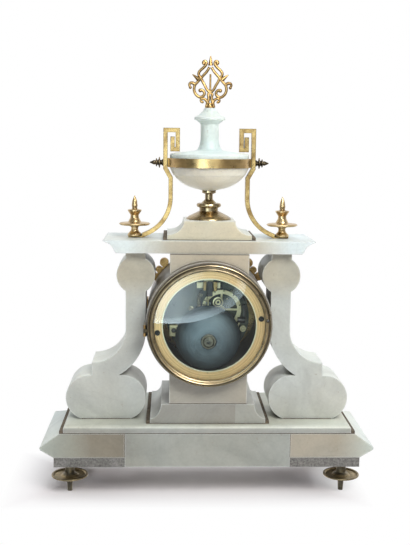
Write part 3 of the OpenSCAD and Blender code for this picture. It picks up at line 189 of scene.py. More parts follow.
def bump(tree, shader, height, strength, distance, soft_edge=0.0):
    """Bump from a height, over edges that a bevel of the given radius softens."""
    links = {"Height": height}
    if soft_edge:
        links["Normal"] = node(tree, "ShaderNodeBevel", samples=4, Radius=soft_edge).outputs["Normal"]
    made = node(tree, "ShaderNodeBump", links, Strength=strength, Distance=distance)
    tree.links.new(made.outputs["Normal"], shader.inputs["Normal"])


def uneven_gloss(tree, shader, scale, detail, low, high):
    """Roughness that drifts between two levels."""
    rough = ramp(tree, noise(tree, scale, detail), [(0.3, grey(low)), (0.7, grey(high))])
    tree.links.new(rough, shader.inputs["Roughness"])


# Materials

WARM_CLOUD, COOL_CLOUD = (1.0, 0.96, 0.885), (0.97, 1.0, 1.0)
SPECK_BROWN = (0.30, 0.22, 0.14)
EDGE_WEAR_AND_HIGHLIGHT = (0.84, 0.88, 0.86)


def alabaster(name, lit_tone, rear_shade_tone, spread=0.10, scatter=0.3, patch=None):
    """Milky stone with one tone on its rear-facing faces, painted shade, and a lit tone elsewhere: drifting
    clouds, faint veins, brown specks, edges paled by wear and a painted highlight, painted shade in corners
    and light inside. A patch (axis, from, to, tone) blends the rear tone to a tone between two places along
    an axis;
    places above zero count on both sides of the middle."""
    material, tree, shader = new_material(name)
    if patch:
        axis, start, end, tone = patch
        reach = along(tree, axis)
        if start > 0:
            reach = math_node(tree, "ABSOLUTE", reach)
        rear_shade_tone = mix(tree, map_range(tree, reach, start * MM, end * MM), rear_shade_tone, tone)
    facing = node(tree, "ShaderNodeTexCoord").outputs["Normal"]
    rearward_facing = node(tree, "ShaderNodeSeparateXYZ", {"Vector": facing}).outputs["Y"]
    # Faces that look to the rear take the rear tone, painted shade; the others take the lit tone, painted
    # light.
    color = mix(tree, map_range(tree, rearward_facing, 0.90, 0.98), lit_tone, rear_shade_tone)
    clouds = map_range(tree, noise(tree, 17.0, 5.0, 0.58, 0.7), 0.33, 0.67, 1 - spread, 1 + spread)
    color = multiply(tree, color, clouds)
    warmth = ramp(tree, noise(tree, 7.0, 3.0, 0.5, 0.5), [(0.36, WARM_CLOUD), (0.62, COOL_CLOUD)])
    color = multiply(tree, color, warmth)
    drift = math_node(tree, "SUBTRACT", noise(tree, 9.0, 4.0, 0.6, 1.4), 0.5)
    veins = ramp(tree, math_node(tree, "ABSOLUTE", drift),
                 [(0.0, grey(0.94)), (0.012, grey(0.975)), (0.04, grey(1.0))])
    color = multiply(tree, color, veins)
    specks = ramp(tree, noise(tree, 260.0, 3.0, 0.6), [(0.67, grey(0.0)), (0.75, grey(0.35))])
    color = mix(tree, specks, color, SPECK_BROWN)
    # Edges turn pale: wear, with a painted highlight.
    rubbed = map_range(tree, edge_mask(tree, 2.2 * MM), 0.0, 1.0, 0.0, 0.6)
    color = mix(tree, rubbed, color, EDGE_WEAR_AND_HIGHLIGHT)
    # Darker in corners and recesses: painted shade.
    corner_shade = map_range(tree, hollows(tree, 7.0 * MM, 1.0, 0.62), 0.0, 1.0, 1.0, 0.5)
    color = multiply(tree, color, corner_shade)
    grain = ramp(tree, noise(tree, 480.0, 4.0), [(0.3, grey(0.93)), (0.65, grey(1.0))])
    tree.links.new(multiply(tree, color, grain), shader.inputs["Base Color"])
    uneven_gloss(tree, shader, 60.0, 5.0, 0.28, 0.5)
    shader.inputs["IOR"].default_value = 1.5
    shader.inputs["Subsurface Weight"].default_value = scatter
    shader.inputs["Subsurface Radius"].default_value = (1.0, 0.97, 0.88)
    shader.inputs["Subsurface Scale"].default_value = 9.0 * MM
    bump(tree, shader, noise(tree, 300.0, 6.0), 0.14, 0.6 * MM, 0.8 * MM)
    return material


def granite(name, deep, pale):
    """Dull grey stone with dark and light grains."""
    material, tree, shader = new_material(name)
    clouds = ramp(tree, noise(tree, 70.0, 5.0, 0.65), [(0.35, deep), (0.65, pale)])
    grains = ramp(tree, noise(tree, 520.0, 3.0, 0.7),
                  [(0.3, grey(0.45)), (0.5, grey(1.0)), (0.72, grey(1.45))])
    rubbed = mix(tree, edge_mask(tree, 1.0 * MM), multiply(tree, clouds, grains), scaled(pale, 1.3))
    tree.links.new(rubbed, shader.inputs["Base Color"])
    uneven_gloss(tree, shader, 200.0, 4.0, 0.45, 0.7)
    bump(tree, shader, noise(tree, 420.0, 6.0), 0.3, 0.6 * MM, 0.6 * MM)
    return material


def metal(name, bright, dull, dark, rough_low, rough_high, recess=4.0, wear_scale=90.0, edge=1.12,
          edge_w=0.5):
    """Polished metal, dulled in patches, dark in recesses that reach the given millimetres. Its edges are
    rubbed bright where the edge share is above one and darkened as painted shade where it is below."""
    material, tree, shader = new_material(name)
    patches = ramp(tree, noise(tree, wear_scale, 6.0, 0.6, 0.4), [(0.36, dull), (0.62, bright)])
    spots = ramp(tree, noise(tree, wear_scale * 6.0, 4.0), [(0.60, grey(0.0)), (0.74, grey(0.3))])
    dulled = mix(tree, spots, patches, scaled(dull, 0.6))
    # An edge share below one paints shade on the edges.
    rubbed = mix(tree, edge_mask(tree, edge_w * MM), dulled, scaled(bright, edge))
    color = mix(tree, hollows(tree, recess * MM, 0.92, 0.8), rubbed, dark)
    tree.links.new(color, shader.inputs["Base Color"])
    shader.inputs["Metallic"].default_value = 1.0
    uneven_gloss(tree, shader, wear_scale * 1.7, 5.0, rough_low, rough_high)
    bump(tree, shader, noise(tree, 700.0, 3.0), 0.08, 0.3 * MM, 0.3 * MM)
    return material


def spun_brass(name, bright, dull, lip):
    """Satin brass with fine rings of the lathe round the drum's axis, dark spots and a painted highlight
    along the inner lip.
    """
    material, tree, shader = new_material(name)
    turning = node(tree, "ShaderNodeTexNoise", {"W": from_axis(tree, DRUM_Z)}, noise_dimensions="1D",
                   Scale=900.0, Detail=3.0)
    rings = turning.outputs["Fac"]
    color = ramp(tree, rings, [(0.32, dull), (0.62, bright)])
    spots = ramp(tree, noise(tree, 240.0, 4.0), [(0.62, grey(0.0)), (0.74, grey(0.5))])
    spotted = mix(tree, spots, color, scaled(dull, 0.4))
    rubbed = mix(tree, edge_mask(tree, 0.5 * MM), spotted, scaled(bright, 1.25))
    corners = [v.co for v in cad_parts["rear_ring"].data.vertices]
    hole_r = min(math.hypot(c.x, c.z - DRUM_Z) for c in corners)
    # A painted highlight along the ring's inner lip.
    lip_highlight_mask = map_range(tree, from_axis(tree, DRUM_Z), hole_r + 0.6 * MM, hole_r + 1.3 * MM, 0.8, 0.0)
    tree.links.new(mix(tree, lip_highlight_mask, rubbed, lip), shader.inputs["Base Color"])
    shader.inputs["Metallic"].default_value = 1.0
    uneven_gloss(tree, shader, 70.0, 4.0, 0.36, 0.46)
    bump(tree, shader, rings, 0.12, 0.2 * MM, 0.2 * MM)
    return material


# Share of the bezel's face from its inner edge outward, and brightness there: painted highlight on the bead
# rings, painted shade in the groove rings
BEZEL_RING_LIGHT = [(0.0, 0.95), (0.05, 0.9), (0.1, 0.45), (0.28, 0.5), (0.36, 1.0), (0.44, 0.95),
               (0.5, 0.25), (0.72, 0.12), (0.78, 0.7), (0.9, 0.6), (0.96, 0.05)]


def bezel_brass(name, cad_node, face_w, bright, dark):
    """Turned brass with a painted highlight on each bead ring and painted shade in each groove ring, ring by
    ring across the bezel's face.
    """
    material, tree, shader = new_material(name)
    low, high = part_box(cad_node)
    outer = (high[2] - low[2]) / 2
    share = map_range(tree, from_axis(tree, DRUM_Z), outer - face_w * MM, outer)
    bead_light_and_groove_shade = ramp(tree, share, [(at, grey(level)) for at, level in BEZEL_RING_LIGHT])
    worn = ramp(tree, noise(tree, 110.0, 6.0, 0.6, 0.4), [(0.36, grey(0.62)), (0.62, grey(1.0))])
    color = mix(tree, multiply(tree, bead_light_and_groove_shade, worn), dark, bright)
    tree.links.new(mix(tree, hollows(tree, 2.0 * MM, 0.6), color, dark), shader.inputs["Base Color"])
    shader.inputs["Metallic"].default_value = 1.0
    uneven_gloss(tree, shader, 150.0, 5.0, 0.26, 0.4)
    bump(tree, shader, noise(tree, 700.0, 3.0), 0.08, 0.3 * MM, 0.3 * MM)
    return material


BELL_DEEP, BELL_PALE = (0.215, 0.25, 0.272), (0.275, 0.318, 0.34)


def bell_metal(name):
    """Blue-grey bell metal, with a painted highlight in a ring round its nut and painted shade towards its
    lip.
    """
    material, tree, shader = new_material(name)
    share = map_range(tree, from_axis(tree, BELL_Z), 0.0, BELL_R)
    # Lighter in a ring round the nut, darker towards the lip: painted light and shade.
    nut_ring_light = ramp(tree, share, [(0.2, grey(0.78)), (0.42, grey(0.95)), (0.60, grey(0.9)),
                                (0.82, grey(0.72)), (1.0, grey(0.6))])
    patches = ramp(tree, noise(tree, 40.0, 6.0, 0.6, 0.4), [(0.36, BELL_DEEP), (0.62, BELL_PALE)])
    tree.links.new(multiply(tree, patches, nut_ring_light), shader.inputs["Base Color"])
    shader.inputs["Metallic"].default_value = 1.0
    uneven_gloss(tree, shader, 70.0, 5.0, 0.64, 0.74)
    bump(tree, shader, noise(tree, 500.0, 3.0), 0.06, 0.3 * MM, 0.3 * MM)
    return material


HEAD_ON_GLOSS = 0.0375


def clear_glass(name):
    """Old wavy glass: it lets light straight through, tinted by an uneven film, and mirrors the room."""
    material, tree, shader = new_material(name)
    output = tree.nodes["Material Output"]
    tree.nodes.remove(shader)
    film = noise(tree, 30.0, 4.0)
    tint = ramp(tree, film, [(0.3, (0.90, 0.95, 0.95)), (0.7, (0.95, 0.98, 0.98))])
    through = node(tree, "ShaderNodeBsdfTransparent", {"Color": tint})
    smear = ramp(tree, noise(tree, 45.0, 5.0), [(0.4, grey(0.015)), (0.8, grey(0.06))])
    mirrored = node(tree, "ShaderNodeBsdfGlossy", {"Roughness": smear}, Color=(0.98, 0.99, 1.0, 1.0))
    bump(tree, mirrored, noise(tree, 26.0, 2.0), 0.10, 1.0 * MM)
    slant = node(tree, "ShaderNodeLayerWeight", Blend=0.5).outputs["Facing"]
    gloss = map_range(tree, math_node(tree, "POWER", slant, 5.0), 0.0, 1.0, HEAD_ON_GLOSS, 1.0)
    pane = node(tree, "ShaderNodeMixShader",
                {"Fac": gloss, 1: through.outputs[0], 2: mirrored.outputs[0]})
    tree.links.new(pane.outputs[0], output.inputs["Surface"])
    return material


def enamel(name):
    """White fired enamel with a faint unevenness."""
    material, tree, shader = new_material(name)
    color = ramp(tree, noise(tree, 40.0, 4.0), [(0.3, (0.84, 0.83, 0.77)), (0.7, (0.90, 0.89, 0.85))])
    tree.links.new(color, shader.inputs["Base Color"])
    uneven_gloss(tree, shader, 80.0, 3.0, 0.12, 0.22)
    bump(tree, shader, noise(tree, 120.0, 2.0), 0.05, 0.4 * MM)
    return material


def ink(name):
    """Black figures fired into the enamel."""
    material, tree, shader = new_material(name)
    color = ramp(tree, noise(tree, 500.0, 3.0), [(0.3, grey(0.012)), (0.7, grey(0.03))])
    tree.links.new(color, shader.inputs["Base Color"])
    uneven_gloss(tree, shader, 300.0, 3.0, 0.25, 0.4)
    bump(tree, shader, noise(tree, 600.0, 3.0), 0.06, 0.1 * MM)
    return material


def old_cement(name):
    """Brown-black filler in the joints of the stone."""
    material, tree, shader = new_material(name)
    color = ramp(tree, noise(tree, 400.0, 5.0), [(0.3, (0.045, 0.035, 0.026)), (0.7, (0.19, 0.15, 0.105))])
    tree.links.new(color, shader.inputs["Base Color"])
    uneven_gloss(tree, shader, 300.0, 3.0, 0.7, 0.9)
    bump(tree, shader, noise(tree, 900.0, 4.0), 0.3, 0.2 * MM)
    return material


# Share of the foot's height, and how far it is rubbed to gold there
FOOT_RUBBED = [(0.0, 0.05), (0.43, 0.05), (0.46, 0.7), (0.50, 0.45),
               (0.53, 0.08), (0.72, 0.12), (0.80, 0.5), (1.0, 0.3)]
FOOT_H = 34.0 * MM


def foot_bronze(name):
    """Dark bronze whose turned rim and neck, at their heights, are rubbed to gold."""
    material, tree, shader = new_material(name)
    height = map_range(tree, along(tree, "Z"), 0.0, FOOT_H)
    rim = ramp(tree, height, [(at, grey(level)) for at, level in FOOT_RUBBED])
    dark = ramp(tree, noise(tree, 160.0, 5.0), [(0.35, (0.11, 0.10, 0.08)), (0.7, (0.28, 0.245, 0.18))])
    gold = ramp(tree, noise(tree, 220.0, 5.0), [(0.35, (0.36, 0.27, 0.14)), (0.65, (0.70, 0.53, 0.28))])
    tree.links.new(mix(tree, rim, dark, gold), shader.inputs["Base Color"])
    shader.inputs["Metallic"].default_value = 1.0
    uneven_gloss(tree, shader, 240.0, 4.0, 0.3, 0.5)
    bump(tree, shader, noise(tree, 500.0, 4.0), 0.1, 0.4 * MM, 0.4 * MM)
    return material


# Tones and material of each stone: tone of tops and sides, tinted as painted light, painted-shade tone of the
# rear faces, spread of the clouds, light inside, patch
column_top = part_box("column_left")[1][2] / MM
# The entablature's ends blend to a pale bluish tone: painted light of thin ends lit from above, against a
# middle in shade.
LIT_CAP_ENDS = ("X", 40.0, 78.0, (0.80, 0.89, 0.92))
PALE_SLAB = ("X", -26.5, -26.8, (0.42, 0.44, 0.42))
PALE_RIGHT_TIP = ("X", 112.0, 160.0, (0.48, 0.54, 0.51))
PALE_LEFT_TIP = ("X", 125.0, 162.0, (0.56, 0.62, 0.58))
WARM_BULB = ("Z", column_top - 46.0, column_top - 26.0, (0.53, 0.51, 0.43))

LID_STONE = alabaster("alabaster_lid", (0.77, 0.89, 0.91), (0.77, 0.89, 0.91), 0.04, 0.45)
BOWL_STONE = alabaster("alabaster_bowl", (0.94, 0.92, 0.81), (0.94, 0.92, 0.81), 0.04, 0.9)
BLOCK_STONE = alabaster("alabaster_block", (0.74, 0.78, 0.75), (0.71, 0.67, 0.54), 0.06, 0.4)
CAP_STONE = alabaster("alabaster_cap", (0.75, 0.81, 0.82), (0.56, 0.53, 0.45), 0.07, 0.4, LIT_CAP_ENDS)
COLUMN_STONE = alabaster("alabaster_column", (0.73, 0.765, 0.75), (0.575, 0.61, 0.60), 0.13, 0.4,
                         WARM_BULB)
PLATE_STONE = alabaster("alabaster_plate", (0.62, 0.65, 0.60), (0.41, 0.43, 0.41), 0.13, 0.3)
CENTER_STONE = alabaster("alabaster_center", (0.65, 0.69, 0.66), (0.395, 0.415, 0.39), 0.15)
LEFT_STONE = alabaster("alabaster_left", (0.71, 0.75, 0.73), (0.46, 0.42, 0.345), 0.09, 0.3,
                       PALE_LEFT_TIP)
RIGHT_STONE = alabaster("alabaster_right", (0.68, 0.73, 0.71), (0.305, 0.285, 0.235), 0.11, 0.3,
                        PALE_RIGHT_TIP)
PIER_STONE = alabaster("alabaster_pier", (0.50, 0.49, 0.47), (0.58, 0.53, 0.435), 0.08)
LOWER_PIER_STONE = alabaster("alabaster_lower_pier", (0.42, 0.41, 0.40), (0.43, 0.415, 0.365), 0.08)
# The drum's stone takes a dark tone: painted shade, for its side lies in shade under the entablature.
DRUM_STONE = alabaster("alabaster_drum", (0.26, 0.225, 0.19), (0.26, 0.225, 0.18), 0.10)
PEDESTAL_STONE = alabaster("alabaster_pedestal", (0.50, 0.52, 0.51), (0.345, 0.345, 0.32), 0.09, 0.3,
                           PALE_SLAB)
PLINTH_STONE = granite("plinth_granite", (0.155, 0.15, 0.135), (0.225, 0.22, 0.205))

# Tones of each metal: bright, dull and dark; low and high roughness; reach of recesses, scale of the wear
GILT_SHADE = (0.03, 0.018, 0.009)
GILT = metal("gilt_brass", (0.57, 0.38, 0.15), (0.38, 0.24, 0.09), GILT_SHADE, 0.22, 0.36, 5.0, 50.0)
# The straps' edges are darkened: painted shade on their sides.
STRAP_GILT = metal("strap_gilt", (0.63, 0.44, 0.18), (0.34, 0.21, 0.08), GILT_SHADE, 0.22, 0.36, 5.0, 120.0,
                   edge=0.16, edge_w=1.6)
FINIAL_GILT = metal("finial_gilt", (0.70, 0.53, 0.30), (0.46, 0.32, 0.15), GILT_SHADE, 0.24, 0.38, 5.0)
DULL_GILT = metal("dull_gilt", (0.50, 0.39, 0.23), (0.30, 0.225, 0.13), (0.03, 0.02, 0.012), 0.2, 0.34)
BAND_GILT = metal("band_gilt", (0.64, 0.45, 0.20), (0.42, 0.28, 0.12), (0.05, 0.03, 0.015), 0.24, 0.36)
CAST_GILT = metal("cast_gilt", (0.58, 0.37, 0.145), (0.24, 0.14, 0.055), (0.02, 0.012, 0.006), 0.22, 0.38)
BEZEL_W = 6.2
REAR_BEZEL = bezel_brass("rear_bezel_brass", "rear_bezel", BEZEL_W, (0.82, 0.66, 0.42), (0.06, 0.045, 0.028))
FRONT_BEZEL = bezel_brass("front_bezel_brass", "front_bezel", BEZEL_W, (0.80, 0.60, 0.34),
                          (0.12, 0.088, 0.05))
FLANGE_BRASS = spun_brass("spun_brass", (1.0, 0.64, 0.31), (0.78, 0.45, 0.195), (1.0, 0.90, 0.66))
TRAIN_BRASS = metal("train_brass", (0.86, 0.74, 0.46), (0.58, 0.48, 0.27), (0.05, 0.04, 0.025), 0.3, 0.48)
PLATE_BRASS = metal("plate_brass", (0.12, 0.12, 0.09), (0.07, 0.072, 0.058), (0.012, 0.012, 0.011), 0.34, 0.5,
                    8.0)
DARK_BRONZE = metal("dark_bronze", (0.22, 0.16, 0.09), (0.09, 0.07, 0.045), (0.02, 0.015, 0.01), 0.26, 0.46)
NUT_BRASS = metal("nut_brass", (0.30, 0.26, 0.19), (0.19, 0.165, 0.125), (0.02, 0.018, 0.014), 0.34, 0.5, 1.2)
STEEL = metal("steel", (0.52, 0.52, 0.50), (0.33, 0.32, 0.31), (0.05, 0.045, 0.045), 0.2, 0.4)
DARK_STEEL = metal("dark_steel", (0.13, 0.12, 0.11), (0.06, 0.055, 0.05), (0.015, 0.014, 0.013), 0.3, 0.5)
BLUED = metal("blued_steel", (0.06, 0.08, 0.17), (0.03, 0.035, 0.07), (0.01, 0.01, 0.015), 0.2, 0.34)
FOOT = foot_bronze("foot_bronze")
BELL = bell_metal("bell_metal")
GLASS = clear_glass("door_glass")
ENAMEL = enamel("dial_enamel")
INK = ink("dial_ink")
CEMENT = old_cement("joint_cement")

NODE_MATERIALS = {
    LID_STONE: ["urn_lid"],
    BOWL_STONE: ["urn_bowl"],
    BLOCK_STONE: ["upper_pedestal"],
    CAP_STONE: ["entablature"],
    COLUMN_STONE: ["column_left", "column_right"],
    PLATE_STONE: ["base_plate"],
    CENTER_STONE: ["base_center_block"],
    LEFT_STONE: ["base_block_left"],
    RIGHT_STONE: ["base_block_right"],
    PIER_STONE: ["upper_pier"],
    LOWER_PIER_STONE: ["lower_pier"],
    DRUM_STONE: ["drum"],
    PEDESTAL_STONE: ["pedestal"],
    PLINTH_STONE: ["base_plinths"],
    BAND_GILT: ["urn_band"],
    DULL_GILT: ["urn_foot"],
    GILT: ["front_ring", "straps"],
    STRAP_GILT: ["handle_left", "handle_right"],
    FINIAL_GILT: ["corner_finials"],
    CAST_GILT: ["urn_finial", "drum_scrolls", "hinge_leaves"],
    REAR_BEZEL: ["rear_bezel"],
    FRONT_BEZEL: ["front_bezel"],
    FLANGE_BRASS: ["rear_ring"],
    TRAIN_BRASS: ["pillars", "suspension_cock", "going_barrel", "center_wheel", "third_wheel", "escape_wheel",
                  "pendulum", "strike_barrel", "count_wheel", "pin_wheel", "fly", "minute_wheel",
                  "hour_wheel"],
    PLATE_BRASS: ["front_plate", "back_plate"],
    NUT_BRASS: ["bell_stand"],
    DARK_BRONZE: ["handle_nuts"],
    CEMENT: ["base_fillet", "pedestal_fillet", "upper_fillet"],
    FOOT: ["feet"],
    STEEL: ["urn_rod", "hinge_pins", "pallet_anchor"],
    DARK_STEEL: ["strap_screws", "hammer"],
    BLUED: ["minute_hand", "hour_hand"],
    GLASS: ["rear_glass", "front_glass"],
    BELL: ["bell"],
    ENAMEL: ["dial"],
}
for material, names in NODE_MATERIALS.items():
    for name in names:
        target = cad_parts[name]
        target.data.materials.clear()
        target.data.materials.append(material)


# Mesh helpers

def add_piece(name, bm, material, body="case"):
    """Turns a bmesh into a piece that moves with a body."""
    bmesh.ops.recalc_face_normals(bm, faces=bm.faces)
    mesh = bpy.data.meshes.new(name)
    bm.to_mesh(mesh)
    bm.free()
    mesh.materials.append(material)
    made = bpy.data.objects.new(name, mesh)
    bpy.context.scene.collection.objects.link(made)
    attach(made, body)
    return made


def soften(piece, width):
    """Bevels a piece's edges."""
    bevel = piece.modifiers.new("soft_edges", "BEVEL")
    bevel.width = width * MM
    bevel.segments = 2


def turned(bm, outline, stand, steps=36):
    """Adds a turned form from (radius, height) points in millimetres; stand puts its axis in place."""
    rings = []
    for radius, height in outline:
        angles = [2 * math.pi * i / steps for i in range(steps)]
        points = [Vector((radius * math.cos(a), radius * math.sin(a), height)) * MM for a in angles]
        rings.append([bm.verts.new(stand @ point) for point in points])
    for low, high in zip(rings, rings[1:]):
        for i in range(steps):
            after = (i + 1) % steps
            bm.faces.new((low[i], low[after], high[after], high[i]))
    bm.faces.new(rings[0])
    bm.faces.new(rings[-1])


def block(bm, low, high):
    """Adds a box between two corners, in metres."""
    low, high = Vector(low), Vector(high)
    size = Matrix.Diagonal((*(high - low), 1.0))
    bmesh.ops.create_cube(bm, size=1.0, matrix=Matrix.Translation((low + high) / 2) @ size)


def bar(bm, corners, lift):
    """Adds a flat bar: four corners, and the same four moved by the lift."""
    below = [bm.verts.new(c) for c in corners]
    above = [bm.verts.new(c + lift) for c in corners]
    bm.faces.new(below)
    bm.faces.new(above)
    for i in range(4):
        after = (i + 1) % 4
        bm.faces.new((below[i], below[after], above[after], above[i]))


def stroke_corners(start, end, width):
    """Corners of a stroke between two points of a plane."""
    ahead = (end - start).normalized()
    beside = Vector((-ahead.y, ahead.x)) * width / 2
    return [start - beside, end - beside, end + beside, start + beside]


def tubes(strokes):
    """Mesh of round strokes through points in metres; radii in millimetres run from start to end."""
    curve = bpy.data.curves.new("strokes", "CURVE")
    curve.dimensions = "3D"
    curve.bevel_depth = MM
    curve.bevel_resolution = 3
    curve.resolution_u = 5
    curve.use_fill_caps = True
    for points, radius_start, radius_end in strokes:
        spline = curve.splines.new("BEZIER")
        spline.bezier_points.add(len(points) - 1)
        for i, (point, at) in enumerate(zip(spline.bezier_points, points)):
            share = i / (len(points) - 1)
            point.co = at
            point.radius = radius_start + share * (radius_end - radius_start)
            point.handle_left_type = point.handle_right_type = "AUTO"
    drawn = bpy.data.objects.new("strokes", curve)
    bpy.context.scene.collection.objects.link(drawn)
    scene_state = bpy.context.evaluated_depsgraph_get()
    mesh = bpy.data.meshes.new_from_object(drawn.evaluated_get(scene_state))
    bpy.data.objects.remove(drawn)
    return mesh


# Urn finial: cast scrolls, drawn on one side of the urn's axis and mirrored, from the finial's foot up.
# A stroke is its points in millimetres and its radius at the start and at the end.

FINIAL_STROKES = [
    ([(1.0, 38.5), (3.4, 34.5), (6.3, 31.2), (9.2, 27.9), (12.0, 24.7), (14.5, 21.8), (15.5, 18.5),
      (15.0, 14.9), (12.6, 11.6), (9.9, 10.2), (7.0, 11.2), (5.6, 13.4), (6.2, 15.6), (8.2, 16.9),
      (9.8, 16.7)], 1.15, 1.25),
    ([(3.4, 0.5), (2.6, 4.4), (1.6, 8.4), (1.5, 10.9), (2.0, 13.0), (0.6, 14.0)], 1.5, 1.0),
    ([(0.0, 13.0), (1.6, 15.6), (3.5, 17.8), (5.1, 21.0), (7.5, 25.0), (8.8, 27.9), (11.1, 30.9),
      (11.2, 33.0), (9.8, 35.2), (6.6, 38.1), (5.0, 39.9), (4.0, 42.1), (5.2, 44.0), (6.9, 43.0),
      (6.4, 41.3)], 1.15, 1.25),
    ([(11.2, 26.8), (14.2, 29.2), (17.2, 31.5)], 2.0, 0.4),
    ([(14.6, 22.1), (18.0, 23.6), (20.0, 22.4), (19.2, 18.8)], 1.5, 0.9),
    ([(2.4, 5.0), (5.5, 8.5), (8.4, 8.3), (8.6, 6.1), (7.0, 5.3)], 1.2, 1.0),
]
FINIAL_STEM = [([(0.0, 13.8), (0.0, 23.0), (0.0, 32.0)], 0.85, 0.75),
               ([(0.0, 40.0), (0.0, 44.6), (0.0, 49.0)], 2.1, 0.4)]
FINIAL_BALLS = [(9.6, 16.5, 1.9), (6.6, 42.0, 1.6), (7.4, 5.6, 1.4), (19.2, 19.2, 1.5)]
FINIAL_GIRTH = 1.2
FINIAL_FOOT = [(4.8, 0.0), (4.8, 1.1), (3.4, 1.7), (3.0, 3.0), (3.6, 3.8), (2.4, 5.0)]


def on_finial(across, up):
    """Carries a place on the finial, in millimetres from its foot, to the frame."""
    return Vector((across * MM, URN_Y, finial_low[2] + up * MM))


def urn_finial():
    """Cast finial of round scrolls with ball ends, in the place of the flat-faced one."""
    mirrored = [([(-x, z) for x, z in points], start, end) for points, start, end in FINIAL_STROKES]
    placed = [([on_finial(*p) for p in points], FINIAL_GIRTH * start, FINIAL_GIRTH * end)
              for points, start, end in FINIAL_STROKES + mirrored + FINIAL_STEM]
    bm = bmesh.new()
    bm.from_mesh(tubes(placed))
    turned(bm, FINIAL_FOOT, Matrix.Translation(on_finial(0.0, 0.0)))
    for x, z, radius in FINIAL_BALLS:
        for side in (-1, 1):
            at = Matrix.Translation(on_finial(side * x, z))
            bmesh.ops.create_uvsphere(bm, u_segments=16, v_segments=10, radius=radius * MM, matrix=at)
    for face in bm.faces:
        face.smooth = True
    piece = add_piece("urn_finial_cast", bm, CAST_GILT)
    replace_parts(piece, "urn_finial")


# Dial figures: Roman hours and a minute track, in bars on the enamel; millimetres, feet towards the centre

HOURS = ["XII", "I", "II", "III", "IIII", "V", "VI", "VII", "VIII", "IX", "X", "XI"]
THICK, THIN = 1.5, 0.5
HOUR_FOOT_R, HOUR_H = 32.5, 9.5
TRACK_R, TRACK_H = 44.2, 2.6
HOUR_MARK_W, MINUTE_MARK_W, TRACK_LINE_W = 1.0, 0.35, 0.3
INK_T = 0.04
LETTER_W = {"I": 2.8, "V": 6.0, "X": 6.2}
LETTER_BARS = {
    "I": [((0.0, 0.0), (0.0, 1.0), THICK)],
    "V": [((-0.34, 1.0), (0.0, 0.0), THICK), ((0.34, 1.0), (0.0, 0.0), THIN)],
    "X": [((-0.34, 1.0), (0.34, 0.0), THICK), ((0.34, 1.0), (-0.34, 0.0), THIN)],
}
SERIFS = [((-0.46, 0.0), (0.46, 0.0), THIN), ((-0.46, 1.0), (0.46, 1.0), THIN)]


def on_dial(point, angle):
    """Carries a point, across and out from the centre in millimetres, to an angle clockwise on the dial."""
    across, out = point
    x = out * math.sin(angle) + across * math.cos(angle)
    z = out * math.cos(angle) - across * math.sin(angle)
    return Vector((x * MM, DIAL_FRONT_Y, DRUM_Z + z * MM))


def dial_bar(bm, start, end, width, angle):
    """Adds a stroke of ink at an angle on the dial."""
    corners = [on_dial(c, angle) for c in stroke_corners(Vector(start), Vector(end), width)]
    bar(bm, corners, Vector((0.0, -INK_T * MM, 0.0)))


def dial_figures():
    """Hours and the minute track."""
    bm = bmesh.new()
    for hour, letters in enumerate(HOURS):
        angle = math.radians(30 * hour)
        left = -sum(LETTER_W[letter] for letter in letters) / 2
        for letter in letters:
            wide = LETTER_W[letter]
            middle = left + wide / 2
            for start, end, width in LETTER_BARS[letter] + SERIFS:
                ends = [(middle + u * wide, HOUR_FOOT_R + v * HOUR_H) for u, v in (start, end)]
                dial_bar(bm, *ends, width, angle)
            left += wide
    for minute in range(60):
        angle = math.radians(6 * minute)
        width = HOUR_MARK_W if minute % 5 == 0 else MINUTE_MARK_W
        dial_bar(bm, (0.0, TRACK_R), (0.0, TRACK_R + TRACK_H), width, angle)
        for radius in (TRACK_R, TRACK_R + TRACK_H):
            half = radius * math.tan(math.radians(3))
            dial_bar(bm, (-half, radius), (half, radius), TRACK_LINE_W, angle)
    add_piece("dial_figures", bm, INK)


# Movement details behind the back plate: places are millimetres from the drum's axis, as (x, up)

def behind(x, up, y):
    """Carries a place to the frame, at a depth in metres."""
    return Vector((x * MM, y, DRUM_Z + up * MM))


def rearward(x, up, face_y):
    """Stands a turned form on a face that looks to the rear."""
    return Matrix.Translation(behind(x, up, face_y)) @ Matrix.Rotation(-math.pi / 2, 4, "X")


def flat_bar(bm, start, end, width, thickness, y):
    """Adds a flat bar between two places, with its front at a depth."""
    corners = [behind(c.x, c.y, y) for c in stroke_corners(Vector(start), Vector(end), width)]
    bar(bm, corners, Vector((0.0, thickness * MM, 0.0)))


BRIDGE_BOSS, BRIDGE_KNEE, BRIDGE_FOOT = (-9.8, 16.0), (-7.0, 9.6), (9.6, 6.4)
BRIDGE_W, BRIDGE_T, BRIDGE_RISE = 3.0, 1.4, 7.0
BRIDGE_POST = [(2.0, 0.0), (1.6, 0.6), (1.6, BRIDGE_RISE), (1.0, BRIDGE_RISE + 0.5)]
BOSSES = [(16.4, 8.0, 2.5, 0.0), (7.3, 22.2, 2.0, 0.0), (-24.0, 25.4, 1.9, 0.0),
          (*BRIDGE_BOSS, 5.2, BRIDGE_RISE)]
BOSS_SHARES = [(1.0, 0.0), (1.0, 0.9), (0.80, 1.15), (0.72, 0.75), (0.56, 0.75), (0.48, 1.25), (0.28, 1.25),
               (0.22, 0.7), (0.05, 0.7)]
GROOVE_SHARES = [(0.73, 0.6), (0.73, 0.78), (0.1, 0.78)]
SCREWS = [(6.5, 25.0, 1.7), (-12.5, 29.6, 1.6), (-35.0, 18.2, 1.7), (16.0, -4.0, 1.5), (33.0, 12.0, 1.5)]
SCREW_SHARES = [(1.0, 0.0), (1.0, 0.9), (0.75, 1.35), (0.1, 1.45)]


